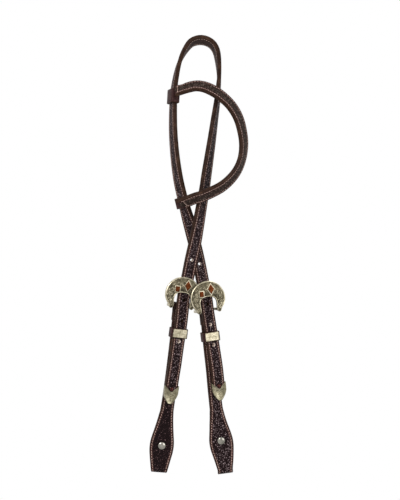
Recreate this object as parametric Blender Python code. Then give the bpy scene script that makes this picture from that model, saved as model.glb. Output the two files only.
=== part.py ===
# Western one-ear headstall: a doubled and stitched crown strap with crescent buckles,
# a sliding ear piece, folded cheek straps, silver keepers and Chicago screws.
# It hangs from the underside of its crown. +Z is up, +X is to the right, -Y is towards the viewer.
import math
import bmesh
import bpy
from mathutils import Matrix, Vector

MM = 0.001

# Leather
STRAP_WIDTH = 16.0 * MM          # a 5/8 inch strap
PLY = 2.4 * MM                   # each of the two plies
PLY_GAP = 0.4 * MM               # glue line and running gap between neighbours
EDGE_ROUND = 0.6 * MM            # burnished edge
STATION_STEP = 5.5 * MM          # spacing of the sections along a strap

# Crown strap
CROWN_DROP = 330.0 * MM          # from the crown's centre line down to the buckle bars
LOOP_SPREAD = 22.5 * MM          # half the width of the loop over the crown
STRAND_DEPTH = 6.2 * MM          # how far each strand stands before or behind the other
CROWN_ROLL = 112.0               # degrees, turn of the tooled face at the top
HOLE_PITCH = 25.4 * MM
HOLE_DIAMETER = 4.8 * MM
HOLES_ABOVE = 2                  # holes from the tongue's hole up
HOLES_BELOW = 2                  # holes in each billet below the bar

# Ear piece
EAR_REACH = 52.5 * MM            # from the middle of the crown out to the ear strap
EAR_PLY = 2.4 * MM
EAR_STANDOFF = 18.6 * MM         # how far the ear strap passes before the crown
EAR_LOOP_WALL = 1.6 * MM
EAR_LOOP_CLEARANCE = 1.2 * MM
EAR_UPPER_LOOP_HEIGHT = 17.5 * MM
EAR_LOWER_LOOP_HEIGHT = 13.5 * MM
EAR_SLIDE_SIDE = 352.0 * MM      # centre of the arc on which the ear piece slides along its strand
EAR_SLIDE_DROP = 94.0 * MM

# Buckle
BAR_RADIUS = 1.7 * MM
BUCKLE_WIDTH = 45.0 * MM
BUCKLE_RISE = 36.5 * MM          # from the bar to the top of the crescent
BUCKLE_THROAT = 17.0 * MM        # from the bar to the inner edge
HORN_ANGLE = 43.0                # degrees below the widest place at which a horn ends
HORN_RISE_SHARE = 0.4            # of HORN_DROP, where a horn starts to round off
HORN_ROOT_SHARE = 0.87           # of HORN_WIDTH, how wide a horn is where it rounds off
CRESCENT_STEPS = 26
HORN_STEPS = 5
HORN_WIDTH = 7.5 * MM
HORN_DROP = 3.0 * MM             # the horn tips reach below the bar
PLATE_RIM = 1.6 * MM
RIM_TIP_SHARE = 0.7              # of the rim, left at the horns' tips
PLATE_DOME = 1.3 * MM
PLATE_STANDOFF_LEFT = 1.3 * MM
PLATE_STANDOFF_RIGHT = 5.9 * MM
BUCKLE_SIDE_LEFT = -2.9 * MM     # how far each crescent has slid along its bar
BUCKLE_SIDE_RIGHT = -0.6 * MM
THROAT_POWER = 0.67              # below 1, the throat is squarer than an ellipse
THROAT_FLARE = 0.15              # how much wider it is in its middle height
POST_WIDTH = 2.8 * MM
CRESCENT_SHOULDER = 15.0 * MM    # height of the widest place above the bar
TONGUE_REACH = 33.0 * MM         # from the bar to the peg
TONGUE_WIDTH = 3.6 * MM
TONGUE_WALL = 1.5 * MM
TONGUE_SHANK = 1.6 * MM
PEG_RADIUS = 1.3 * MM
PEG_STEPS = 6
PEG_SIDES = 12
OVERLAY_THICKNESS = 0.6 * MM
LOZENGE_HEIGHT = 13.0 * MM
LOZENGE_WIDTH = 8.5 * MM
LOZENGE_SIDE = 4.6 * MM          # from the crescent's middle line
LOZENGE_RISE = 25.8 * MM         # from the bar's axis
SQUARE_HEIGHT = 6.8 * MM
SQUARE_WIDTH = 5.4 * MM
SQUARE_SIDE = -8.0 * MM
SQUARE_RISE = 20.9 * MM

# Cheek strap
CHEEK_LENGTH = 205.5 * MM        # from the bar to the bottom of the bit fold
LEFT_STRETCH = 1.013             # the left cheek is a little longer
RIGHT_SWELL_LIFT = 0.03          # of CHEEK_LENGTH, how much higher the right bit end swells
CHEEK_TURN = 15.0                # degrees, how far the bit end turns back towards the viewer
TWIST_FROM_SHARE = 0.56          # the turn starts and ends at these shares of CHEEK_LENGTH
TWIST_TO_SHARE = 0.76
TONGUE_SLOT = 5.2 * MM
TURN_BACK_LENGTH = 18.0 * MM     # the end sewn down behind the bar
BIT_END_WIDTH = 29.7 * MM
BIT_FOLD_GAP = 8.0 * MM
BIT_TAB_OVER = 10.0 * MM         # the tab behind reaches this far over the screw
LEFT_BIT_SLANT = -0.24           # rise of a fold's bottom per distance to the right
RIGHT_BIT_SLANT = 0.40
SLANT_FROM_SHARE = 0.92
SWING_ROOM = 26.0                # degrees left open in front of the bar for the cheek's swing

# Billet, tip and keeper
LEFT_BILLET_LENGTH = 118.0 * MM
RIGHT_BILLET_LENGTH = 111.5 * MM
TIP_LENGTH = 21.0 * MM
TIP_SHEET = 0.7 * MM
TIP_NOTCH = 8.0 * MM
TIP_TAPER_SHARE = 0.62           # of TIP_LENGTH, where the billet starts to narrow
TIP_BLUNT_SHARE = 0.12           # of the strap's width, left at the very end
TIP_CURVE = 1.6                  # power of the narrowing
TIP_STEPS = 8
RIVET_RADIUS = 2.7 * MM
RIVET_HEIGHT = 1.6 * MM
KEEPER_DROP = 32.8 * MM          # from the bar down to the middle of the keeper
KEEPER_HEIGHT = 12.0 * MM
KEEPER_WALL = 1.2 * MM
KEEPER_CLEARANCE = 0.6 * MM
KEEPER_PLATE_HEIGHT = 10.2 * MM
KEEPER_PLATE_WIDTH = 17.4 * MM
KEEPER_PLATE_THICKNESS = 1.0 * MM

# Chicago screw
LEFT_SCREW_RISE = 34.0 * MM      # from the bottom of the fold up to the screw
RIGHT_SCREW_RISE = 42.5 * MM
DOME_RADIUS = 4.9 * MM
DOME_HEIGHT = 2.4 * MM
DOME_STEPS = 6
BARREL_RADIUS = 2.6 * MM
BARREL_BORE = 1.9 * MM
SCREW_RADIUS = 1.5 * MM
SCREW_HEAD_RADIUS = 4.4 * MM
SCREW_HEAD = 1.4 * MM
SLOT_WIDTH = 1.0 * MM
SLOT_DEPTH = 0.6 * MM
LINING_START = 8.0 * MM          # from the bar down to the lining's top edge
LINING_STOP = 20.0 * MM          # from the bottom of the fold up to the lining's lower edge
FIT = 0.3 * MM                   # clearance where metal passes or meets another piece
OVERRUN = 1.0 * MM               # how far a cutter passes its wall

# Counts
ARC_STEPS = 10                   # straight pieces in a strap's turn round the bar or the bit
LEAD_STEPS = 4                   # in the step from the bar in to the cheek's back
ROUND_SIDES = 24                 # facets of a turned piece
HOLE_SIDES = 10
SPLINE_PARTS = 20                # points tried between two stations
# The side of a section that meets the next ply out. Its faces are split the way the inner side's
# are, so that two plies stay evenly apart where the strap twists.
OUTER_SIDE = 4

# Stations of the crown strap from the right buckle over the crown to the left buckle: side share
# of LOOP_SPREAD, drop share of CROWN_DROP, depth share of STRAND_DEPTH, turn of the tooled face
LEFT_STRAND_SHARES = (
    (0.357, 1.012, 0.65, -18.0), (0.260, 0.962, 0.65, -18.0), (0.075, 0.898, 0.68, -17.0),
    (-0.120, 0.831, 0.95, -15.0), (-0.336, 0.767, 0.98, -6.0), (-0.565, 0.704, 0.85, 18.0),
    (-0.801, 0.647, 0.65, 40.0), (-0.977, 0.602, 0.50, 49.0), (-1.240, 0.524, 0.30, 54.0),
    (-1.427, 0.434, 0.15, 60.0), (-1.526, 0.344, 0.05, 64.0), (-1.531, 0.254, 0.0, 68.0),
    (-1.487, 0.187, 0.0, 73.0), (-1.325, 0.120, 0.0, 79.0), (-1.139, 0.075, 0.0, 86.0),
    (-0.895, 0.041, 0.0, 95.0), (-0.587, 0.013, 0.0, 104.0), (-0.302, 0.003, 0.0, 109.0),
)
RIGHT_STRAND_SHARES = (
    (0.346, 0.005, 0.0, 111.0), (0.648, 0.019, 0.0, 109.0), (0.834, 0.041, 0.0, 106.0),
    (0.911, 0.064, 0.0, 103.0), (0.955, 0.088, 0.0, 98.0), (0.988, 0.120, 0.0, 92.0),
    (0.988, 0.150, 0.0, 88.0), (0.950, 0.180, 0.0, 84.0), (0.881, 0.232, 0.0, 78.0),
    (0.741, 0.299, -0.05, 72.0), (0.604, 0.367, -0.12, 66.0), (0.458, 0.434, -0.20, 60.0),
    (0.307, 0.502, -0.32, 54.0), (0.192, 0.558, -0.44, 51.0), (0.049, 0.614, -0.58, 47.0),
    (-0.033, 0.647, -0.68, 44.0), (-0.181, 0.704, -0.82, 36.0), (-0.335, 0.760, -0.95, 26.0),
    (-0.530, 0.820, -0.93, 21.0), (-0.705, 0.880, -0.68, 19.0), (-0.900, 0.939, -0.65, 18.0),
    (-1.018, 0.996, -0.65, 18.0),
)
# Stations of the ear strap from its upper loop to its lower loop: side share of EAR_REACH,
# drop share of CROWN_DROP, depth share of EAR_STANDOFF, turn in degrees
EAR_SHARES = (
    (-0.440, 0.192, -0.70, 46.0), (-0.315, 0.186, -0.81, 41.0), (-0.118, 0.181, -0.95, 40.0),
    (0.071, 0.185, -1.0, 38.0), (0.259, 0.198, -1.05, 37.0), (0.447, 0.217, -1.05, 39.0),
    (0.642, 0.244, -1.0, 43.0), (0.785, 0.274, -0.96, 46.0), (0.885, 0.307, -0.93, 50.0),
    (0.950, 0.345, -0.90, 54.0), (0.987, 0.386, -0.90, 58.0), (0.978, 0.424, -0.90, 62.0),
    (0.931, 0.459, -0.90, 63.0), (0.834, 0.494, -0.92, 60.0), (0.684, 0.525, -0.96, 56.0),
    (0.490, 0.552, -1.0, 52.0), (0.275, 0.571, -1.05, 49.0), (0.047, 0.587, -1.10, 48.0),
    (-0.141, 0.596, -1.04, 47.0), (-0.390, 0.610, -0.80, 50.0),
)
EAR_UPPER_LOOP_SHARE = 0.203     # where the loops sit, as shares of CROWN_DROP
EAR_LOWER_LOOP_SHARE = 0.605
# Height of the crescent's dome as a share of PLATE_DOME, along shares of its width
PLATE_SHARES = (
    (0.0, 0.0), (0.12, 0.45), (0.3, 0.85), (0.5, 1.0), (0.7, 0.85), (0.88, 0.45), (1.0, 0.0),
)
# Section of a tip's rivet as shares of its radius and height
RIVET_SHARES = ((0.0, 1.0), (0.6, 0.8), (1.0, 0.12), (1.0, 0.0), (0.0, 0.0))
# Swell of the bit end as a share of its whole swell, along shares of the cheek's length
SPADE_SHARES = (
    (0.0, 0.0), (0.56, 0.0), (0.65, 0.12), (0.723, 0.46), (0.795, 0.88), (0.83, 1.0), (0.867, 0.96),
    (0.90, 0.80), (0.94, 0.58), (0.976, 0.37), (1.0, 0.23),
)
# How far each cheek and billet lies to the side, as shares of STRAP_WIDTH, along shares of
# CHEEK_LENGTH down from the bar
LEFT_CHEEK_SIDES = (
    (0.0, -0.09), (0.24, -0.02), (0.42, 0.0), (0.566, -0.013), (0.71, -0.056), (0.84, -0.075),
    (0.93, -0.056), (1.0, -0.02),
)
LEFT_BILLET_SIDES = ((0.0, 0.03), (0.10, 0.055), (0.24, 0.025), (0.35, 0.015), (0.43, -0.02),
                     (0.56, -0.05))
RIGHT_CHEEK_SIDES = (
    (0.0, 0.0), (0.104, -0.027), (0.213, -0.06), (0.357, -0.08), (0.50, -0.14), (0.61, -0.156),
    (0.69, -0.14), (0.76, -0.095), (0.83, -0.075), (0.90, -0.04), (1.0, -0.045),
)
RIGHT_BILLET_SIDES = (
    (0.0, 0.0), (0.104, 0.05), (0.213, 0.106), (0.285, 0.137), (0.357, 0.16), (0.43, 0.14),
    (0.56, 0.10),
)


def clear_scene():
    for item in list(bpy.data.objects):
        bpy.data.objects.remove(item, do_unlink=True)


def material(name, colour, roughness, metallic):
    made = bpy.data.materials.new(name)
    made.use_nodes = True
    shader = made.node_tree.nodes["Principled BSDF"]
    shader.inputs["Base Color"].default_value = (*colour, 1.0)
    shader.inputs["Roughness"].default_value = roughness
    shader.inputs["Metallic"].default_value = metallic
    return made


def add_object(name, mesh_data, frame, finish, smooth=35.0):
    piece = bpy.data.objects.new(name, mesh_data)
    piece.matrix_world = frame
    bpy.context.scene.collection.objects.link(piece)
    mesh_data.materials.append(material(name + "_finish", *finish))
    mesh_data.shade_smooth()
    mesh_data.set_sharp_from_angle(angle=math.radians(smooth))
    return piece


TOOLED_LEATHER = ((0.030, 0.015, 0.014), 0.45, 0.0)
LINING_LEATHER = ((0.055, 0.028, 0.018), 0.6, 0.0)
SILVER = ((0.52, 0.48, 0.34), 0.3, 1.0)
COPPER = ((0.30, 0.09, 0.025), 0.4, 1.0)
STEEL = ((0.30, 0.29, 0.27), 0.35, 1.0)


def spline(stations, step):
    """Points at an even spacing on a smooth curve through the stations, with their other values."""
    rows = [Vector(row) for row in stations]
    rows = [2 * rows[0] - rows[1]] + rows + [2 * rows[-1] - rows[-2]]
    fine = []
    for index in range(1, len(rows) - 2):
        a, b, c, d = rows[index - 1:index + 3]
        for part in range(SPLINE_PARTS):
            t = part / SPLINE_PARTS
            fine.append(0.5 * ((2 * b) + (c - a) * t + (2 * a - 5 * b + 4 * c - d) * t * t
                               + (3 * b - a - 3 * c + d) * t ** 3))
    fine.append(rows[-2])
    lengths = [0.0]
    for first, second in zip(fine, fine[1:]):
        lengths.append(lengths[-1] + (Vector(second[:3]) - Vector(first[:3])).length)
    count = max(2, round(lengths[-1] / step))
    result, index = [], 0
    for number in range(count + 1):
        wanted = lengths[-1] * number / count
        while index < len(lengths) - 2 and lengths[index + 1] < wanted:
            index += 1
        share = (wanted - lengths[index]) / (lengths[index + 1] - lengths[index])
        result.append(fine[index].lerp(fine[index + 1], share))
    return result


def frames_along(points):
    """For each point its place, direction, tooled-face normal and sideways direction."""
    frames = []
    for index, point in enumerate(points):
        before, after = points[max(index - 1, 0)], points[min(index + 1, len(points) - 1)]
        along = (Vector(after[:3]) - Vector(before[:3])).normalized()
        toward = Vector((0, -1, 0))
        outward = along.cross(Vector((0, 1, 0))).normalized()
        turn = math.radians(point[3])
        normal = toward * math.cos(turn) + outward * math.sin(turn)
        normal = (normal - along * normal.dot(along)).normalized()
        frames.append((Vector(point[:3]), along, normal, along.cross(normal)))
    return frames


def section(width, inner, outer, round_by):
    """Corners of a strap's section, as sideways and outward places."""
    half = width / 2
    flat = half - round_by
    low, high = inner + round_by, outer - round_by
    return ((-flat, inner), (flat, inner), (half, low), (half, high),
            (flat, outer), (-flat, outer), (-half, high), (-half, low))


def swept_mesh(name, frames, width_at, inner, outer, ends=None):
    """One ply of a strap: its section carried along the frames, with closed ends.
    An end given with a buckle's frame and a slope is cut on that slope through the bar."""
    mesh = bmesh.new()
    rings = []
    for index, (place, _, normal, side) in enumerate(frames):
        corners = section(width_at(index), inner, outer, EDGE_ROUND)
        points = [place + side * across + normal * out for across, out in corners]
        if ends and index in ends:
            frame, slope = ends[index]
            local = [frame.inverted() @ point for point in points]
            points = [frame @ Vector((point.x, point.y, -point.y * slope)) for point in local]
        rings.append([mesh.verts.new(point) for point in points])
    for first, second in zip(rings, rings[1:]):
        for index in range(len(first)):
            following = (index + 1) % len(first)
            corners = [first[index], first[following], second[following], second[index]]
            if index == OUTER_SIDE:
                corners = corners[1:] + corners[:1]
            mesh.faces.new(corners[:3])
            mesh.faces.new((corners[0], corners[2], corners[3]))
    mesh.faces.new(rings[0][::-1])
    mesh.faces.new(rings[-1])
    bmesh.ops.recalc_face_normals(mesh, faces=mesh.faces)
    data = bpy.data.meshes.new(name)
    mesh.to_mesh(data)
    mesh.free()
    return data


def prism_mesh(name, outline, low, high):
    """An outline in the strap's face plane (sideways and up), raised from one depth to another."""
    mesh = bmesh.new()
    back = [mesh.verts.new((across, high, up)) for across, up in outline]
    front = [mesh.verts.new((across, low, up)) for across, up in outline]
    mesh.faces.new(back)
    mesh.faces.new(front[::-1])
    for index in range(len(outline)):
        following = (index + 1) % len(outline)
        mesh.faces.new((back[index], front[index], front[following], back[following]))
    bmesh.ops.recalc_face_normals(mesh, faces=mesh.faces)
    data = bpy.data.meshes.new(name)
    mesh.to_mesh(data)
    mesh.free()
    return data


def cutter(name, data, frame):
    piece = bpy.data.objects.new(name, data)
    piece.matrix_world = frame
    piece.hide_render = True
    piece.display_type = "WIRE"
    bpy.context.scene.collection.objects.link(piece)
    return piece


def cut(piece, tool, operation="DIFFERENCE"):
    change = piece.modifiers.new(tool.name, "BOOLEAN")
    change.operation = operation
    change.object = tool
    change.solver = "EXACT"


def circle(radius, sides):
    angles = [2 * math.pi * index / sides for index in range(sides)]
    return [(radius * math.cos(angle), radius * math.sin(angle)) for angle in angles]


def round_rod(name, radius, low, high, sides):
    """A round rod along the depth direction, as a mesh."""
    return prism_mesh(name, circle(radius, sides), low, high)


# Crown strap
CROWN_LIFT = (PLY + PLY_GAP / 2) * math.sin(math.radians(CROWN_ROLL))


def crown_stations():
    shares = LEFT_STRAND_SHARES + ((0.0, 0.0, 0.0, CROWN_ROLL),) + RIGHT_STRAND_SHARES
    return [(side * LOOP_SPREAD, depth * STRAND_DEPTH, CROWN_LIFT - drop * CROWN_DROP, turn)
            for side, drop, depth, turn in shares]


# Places across the strap stack at a buckle, measured towards the viewer from the bar's axis
CHEEK_BACK = BAR_RADIUS + FIT
CHEEK_FRONT = CHEEK_BACK + PLY
BILLET_BACK = CHEEK_FRONT + PLY_GAP
BILLET_MIDDLE = BILLET_BACK + PLY + PLY_GAP / 2
BILLET_FRONT = BILLET_BACK + 2 * PLY + PLY_GAP


def buckle_frame(end, upward):
    """The frame on a buckle's bar: X along the bar, Y away from the viewer, Z up the strap."""
    place, along, normal, _ = end
    up = along * upward
    across = (-normal).cross(up)
    turn = Matrix((across, -normal, up)).transposed().to_4x4()
    return Matrix.Translation(place - normal * BILLET_MIDDLE) @ turn


def point_up_the_strand(frames, from_end, distance):
    """The frame at a distance from one end of the crown strap."""
    order = frames[::-1] if from_end == "last" else frames
    travelled = 0.0
    for first, second in zip(order, order[1:]):
        length = (second[0] - first[0]).length
        if travelled + length >= distance:
            share = (distance - travelled) / length
            return tuple(a.lerp(b, share) for a, b in zip(first, second))
        travelled += length
    return order[-1]


def make_crown():
    """The two plies from buckle to buckle, with the billets' holes down both strands."""
    frames = frames_along(spline(crown_stations(), STATION_STEP))
    right_frame = buckle_frame(frames[0], 1.0)
    left_frame = buckle_frame(frames[-1], -1.0)
    slope = math.tan(math.radians(SWING_ROOM / 2))
    ends = {0: (right_frame, slope), len(frames) - 1: (left_frame, slope)}
    half_gap = PLY_GAP / 2
    pieces = {}
    for name, inner, outer, finish in (("crown_face", half_gap, half_gap + PLY, TOOLED_LEATHER),
                                       ("crown_lining", -half_gap - PLY, -half_gap, LINING_LEATHER)):
        data = swept_mesh(name, frames, lambda index: STRAP_WIDTH, inner, outer, ends)
        pieces[name] = add_object(name, data, Matrix(), finish)
    for side, frame, end in (("left", left_frame, "last"), ("right", right_frame, "first")):
        for number in range(HOLES_ABOVE + 1):
            distance = TONGUE_REACH + (number - 1) * HOLE_PITCH
            place, _, normal, across = point_up_the_strand(frames, end, distance)
            up = normal.cross(across)
            turn = Matrix((across, -normal, up)).transposed().to_4x4()
            reach = PLY + PLY_GAP + OVERRUN
            rod = round_rod("hole", HOLE_DIAMETER / 2, -reach, reach, HOLE_SIDES)
            punch = cutter(f"{side}_hole_{number}", rod, Matrix.Translation(place) @ turn)
            for piece in pieces.values():
                cut(piece, punch)
    return frames, left_frame, right_frame


def make_ear(crown_frames):
    """The ear strap and the two loops by which it slides on the left strand."""
    stations = [(side * EAR_REACH, depth * EAR_STANDOFF, CROWN_LIFT - drop * CROWN_DROP, turn)
                for side, drop, depth, turn in EAR_SHARES]
    frames = frames_along(spline(stations, STATION_STEP))
    centre = bpy.data.objects.new("ear_slide_centre", None)
    centre.location = (EAR_SLIDE_SIDE, 0, -EAR_SLIDE_DROP)
    bpy.context.scene.collection.objects.link(centre)
    half_gap = PLY_GAP / 2
    for name, inner, outer, finish in (("ear_face", half_gap, half_gap + EAR_PLY, TOOLED_LEATHER),
                                       ("ear_lining", -half_gap - EAR_PLY, -half_gap, LINING_LEATHER)):
        data = swept_mesh(name, frames, lambda index: STRAP_WIDTH, inner, outer)
        hang(add_object(name, data, Matrix(), finish), centre)
    left_strand = crown_frames[:len(crown_frames) // 2]
    for name, share, height in (("ear_upper_loop", EAR_UPPER_LOOP_SHARE, EAR_UPPER_LOOP_HEIGHT),
                                ("ear_lower_loop", EAR_LOWER_LOOP_SHARE, EAR_LOWER_LOOP_HEIGHT)):
        level = CROWN_LIFT - share * CROWN_DROP
        nearest = min(range(len(left_strand)), key=lambda index: abs(left_strand[index][0].z - level))
        place, along, normal, across = left_strand[nearest]
        turn = Matrix((across, -normal, normal.cross(across))).transposed().to_4x4()
        frame = Matrix.Translation(place) @ turn
        loop = sleeve_mesh(name, STRAP_WIDTH + 2 * EAR_LOOP_CLEARANCE,
                           2 * PLY + PLY_GAP + 2 * EAR_LOOP_CLEARANCE, EAR_LOOP_WALL, height)
        hang(add_object(name, loop, frame, TOOLED_LEATHER), centre)


def hang(piece, centre):
    """Parent a piece to an empty, and leave it where it is."""
    piece.parent = centre
    piece.matrix_parent_inverse = Matrix.Translation(-centre.location)


def rounded_rectangle(width, depth, radius, steps=3):
    corners = []
    for sign_x, sign_y, start in ((1, 1, 0), (-1, 1, 90), (-1, -1, 180), (1, -1, 270)):
        for step in range(steps + 1):
            angle = math.radians(start + 90 * step / steps)
            corners.append((sign_x * (width / 2 - radius) + radius * math.cos(angle),
                            sign_y * (depth / 2 - radius) + radius * math.sin(angle)))
    return corners


def sleeve_mesh(name, width, depth, wall, height):
    """A flat leather loop round a strap, open at its top and bottom, centred on its frame."""
    mesh = bmesh.new()
    inner = rounded_rectangle(width, depth, EDGE_ROUND)
    outer = rounded_rectangle(width + 2 * wall, depth + 2 * wall, EDGE_ROUND + wall)
    half = height / 2
    rings = [[mesh.verts.new((x, y, up)) for x, y in outline]
             for outline, up in ((inner, -half), (outer, -half), (outer, half), (inner, half))]
    for first, second in zip(rings, rings[1:] + rings[:1]):
        for index in range(len(first)):
            following = (index + 1) % len(first)
            mesh.faces.new((first[index], first[following], second[following], second[index]))
    bmesh.ops.recalc_face_normals(mesh, faces=mesh.faces)
    data = bpy.data.meshes.new(name)
    mesh.to_mesh(data)
    mesh.free()
    return data


# Cheek straps, built in the frame of their buckle's bar
def eased(table, share):
    """The value at a share in a table of (share, value) rows, with no corner at a row."""
    spot = 0
    while spot < len(table) - 2 and share > table[spot + 1][0]:
        spot += 1
    (low, first), (high, second) = table[spot], table[spot + 1]
    before, after = table[max(spot - 1, 0)], table[min(spot + 2, len(table) - 1)]
    leaving = (second - before[1]) / (high - before[0]) * (high - low)
    reaching = (after[1] - first) / (after[0] - low) * (high - low)
    part = min(max((share - low) / (high - low), 0.0), 1.0)
    return (first + leaving * part + (3 * (second - first) - 2 * leaving - reaching) * part ** 2
            + (2 * (first - second) + leaving + reaching) * part ** 3)


def cheek_shape(sides, stretch, slant):
    """How a cheek lies: it wanders to the side, and its bit end turns back towards the viewer."""
    def shape(point):
        share = -point[2] / CHEEK_LENGTH
        turning = min(max((share - TWIST_FROM_SHARE) / (TWIST_TO_SHARE - TWIST_FROM_SHARE), 0.0), 1.0)
        angle = math.radians(-CHEEK_TURN) * turning * turning * (3 - 2 * turning)
        x, y = point[0], point[1] + CHEEK_BACK
        side = STRAP_WIDTH * eased(sides, share)
        end = min(max((share - SLANT_FROM_SHARE) / (1 - SLANT_FROM_SHARE), 0.0), 1.0)
        return Vector((x * math.cos(angle) - y * math.sin(angle) + side,
                       x * math.sin(angle) + y * math.cos(angle) - CHEEK_BACK,
                       point[2] * stretch + slant * x * end * end * (3 - 2 * end)))
    return shape


def swell(share):
    for (low, first), (high, second) in zip(SPADE_SHARES, SPADE_SHARES[1:]):
        if share <= high:
            return first + (second - first) * (share - low) / (high - low)
    return SPADE_SHARES[-1][1]


def cheek_half_width(height, lift):
    share = min(-height / CHEEK_LENGTH + lift, 1.0)
    return (STRAP_WIDTH + (BIT_END_WIDTH - STRAP_WIDTH) * swell(share)) / 2


def ribbon_mesh(name, path, half_width, shape, thickness=PLY, first_slope=0.0):
    """A strap that lies along a path of (depth, height) points, as wide as its place asks."""
    mesh = bmesh.new()
    rings = []
    for index, (depth, height) in enumerate(path):
        before, after = path[max(index - 1, 0)], path[min(index + 1, len(path) - 1)]
        along = Vector((after[0] - before[0], after[1] - before[1])).normalized()
        normal = (along.y, -along.x)
        half = half_width(index, height)
        ring = []
        for across, out in section(2 * half, -thickness / 2, thickness / 2, EDGE_ROUND):
            y, z = depth + normal[0] * out, height + normal[1] * out
            if index == 0 and first_slope:
                z = y * first_slope
            ring.append(mesh.verts.new(shape((across, y, z))))
        rings.append(ring)
    for first, second in zip(rings, rings[1:]):
        for index in range(len(first)):
            following = (index + 1) % len(first)
            mesh.faces.new((first[index], first[following], second[following], second[index]))
    mesh.faces.new(rings[0])
    mesh.faces.new(rings[-1][::-1])
    bmesh.ops.recalc_face_normals(mesh, faces=mesh.faces)
    data = bpy.data.meshes.new(name)
    mesh.to_mesh(data)
    mesh.free()
    return data


def heights(low, high, step):
    count = max(1, round(abs(high - low) / step))
    return [low + (high - low) * number / count for number in range(count + 1)]


LINING_MIDDLE = -(CHEEK_BACK - PLY_GAP) + PLY / 2
BACK_PLY_MIDDLE = LINING_MIDDLE + PLY + PLY_GAP
FRONT_PLY_MIDDLE = -(CHEEK_BACK + PLY / 2)
FOLD_RADIUS = (BIT_FOLD_GAP + PLY) / 2
LINING_TOP = -LINING_START
LINING_END = -CHEEK_LENGTH + LINING_STOP


def cheek_path(rise):
    """From the tab's end down round the bit fold, up the front, over the bar and down the back."""
    bottom = -CHEEK_LENGTH + FOLD_RADIUS + PLY / 2
    fold_middle = FRONT_PLY_MIDDLE + FOLD_RADIUS
    tab_top = -CHEEK_LENGTH + rise + BIT_TAB_OVER
    tab_bend = -CHEEK_LENGTH + rise - SCREW_HEAD_RADIUS - OVERRUN
    path = [(BACK_PLY_MIDDLE, z) for z in heights(tab_top, tab_bend, STATION_STEP)]
    bulge = fold_middle + FOLD_RADIUS - BACK_PLY_MIDDLE
    for step in range(1, ARC_STEPS):
        share = step / ARC_STEPS
        eased = share * share * (3 - 2 * share)
        path.append((BACK_PLY_MIDDLE + bulge * eased, tab_bend + (bottom - tab_bend) * share))
    for step in range(ARC_STEPS + 1):
        angle = math.pi * step / ARC_STEPS
        path.append((fold_middle + FOLD_RADIUS * math.cos(angle), bottom - FOLD_RADIUS * math.sin(angle)))
    path += [(FRONT_PLY_MIDDLE, z) for z in heights(bottom, 0.0, STATION_STEP)[1:-1]]
    for step in range(ARC_STEPS + 1):
        angle = math.pi - math.pi * step / ARC_STEPS
        path.append((-FRONT_PLY_MIDDLE * math.cos(angle), -FRONT_PLY_MIDDLE * math.sin(angle)))
    ease = -FRONT_PLY_MIDDLE - BACK_PLY_MIDDLE
    for step in range(1, LEAD_STEPS + 1):
        share = step / LEAD_STEPS
        path.append((-FRONT_PLY_MIDDLE - ease * share, LINING_TOP * share))
    path += [(BACK_PLY_MIDDLE, z) for z in heights(LINING_TOP, -TURN_BACK_LENGTH, STATION_STEP)[1:]]
    return path


def screw_frame(frame, shape, rise):
    """Where the Chicago screw passes through the bit end, with Y along the screw to the back."""
    height = -CHEEK_LENGTH + rise
    middle = shape((0.0, 0.0, height))
    ahead = shape((0.0, -PLY, height))
    depth = (middle - ahead).normalized()
    up = Vector((0, 0, 1))
    turn = Matrix((depth.cross(up), depth, up)).transposed().to_4x4()
    return frame @ Matrix.Translation(middle) @ turn


def make_cheek(side, frame, shape, lift, rise):
    """A cheek's face, folded over the bar and round the bit, and the lining behind it."""
    path = cheek_path(rise)
    fold = path.index(min(path, key=lambda point: point[1]))

    def half_width(index, height):
        if index < fold:
            swelling = cheek_half_width(height, lift) - STRAP_WIDTH / 2
            return STRAP_WIDTH / 2 + swelling * swell_of_tab(index / fold)
        return cheek_half_width(height, lift)
    face_data = ribbon_mesh(side + "_cheek_face", path, half_width, shape)
    face = add_object(side + "_cheek_face", face_data, frame, TOOLED_LEATHER)
    lining_path = [(LINING_MIDDLE, z) for z in heights(LINING_TOP, LINING_END, STATION_STEP)]
    lining_data = ribbon_mesh(side + "_cheek_lining", lining_path,
                              lambda _, z: cheek_half_width(z, lift), shape)
    lining = add_object(side + "_cheek_lining", lining_data, frame, LINING_LEATHER)
    corner = CHEEK_FRONT + OVERRUN
    ring = BAR_RADIUS + FIT + TONGUE_WALL + 2 * FIT
    profile = ((-corner, -ring), (FIT, -ring), (FIT, LINING_TOP - 2 * FIT), (corner, LINING_TOP - 2 * FIT),
               (corner, corner), (-corner, corner))
    slot = extruded_profile(side + "_tongue_slot", profile, TONGUE_SLOT)
    cut(face, cutter(side + "_tongue_slot", slot, frame))
    seat = screw_frame(frame, shape, rise)
    reach = CHEEK_FRONT + PLY + OVERRUN
    rod = round_rod("hole", BARREL_RADIUS + FIT, -reach, reach, ROUND_SIDES)
    drill = cutter(side + "_screw_hole", rod, seat)
    cut(face, drill)
    cut(lining, drill)
    return seat


def swell_of_tab(share):
    """The tab is a plain strap at its end and as wide as the fold at the bottom."""
    return share ** 4


def extruded_profile(name, profile, width, lean=0.0):
    """A (depth, height) profile made as wide as given, leaning to the side as it rises."""
    mesh = bmesh.new()
    sides = []
    for across in (-width / 2, width / 2):
        sides.append([mesh.verts.new((across + lean * z, y, z)) for y, z in profile])
    mesh.faces.new(sides[0])
    mesh.faces.new(sides[1][::-1])
    for index in range(len(profile)):
        following = (index + 1) % len(profile)
        mesh.faces.new((sides[0][index], sides[1][index], sides[1][following], sides[0][following]))
    bmesh.ops.recalc_face_normals(mesh, faces=mesh.faces)
    data = bpy.data.meshes.new(name)
    mesh.to_mesh(data)
    mesh.free()
    return data


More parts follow.
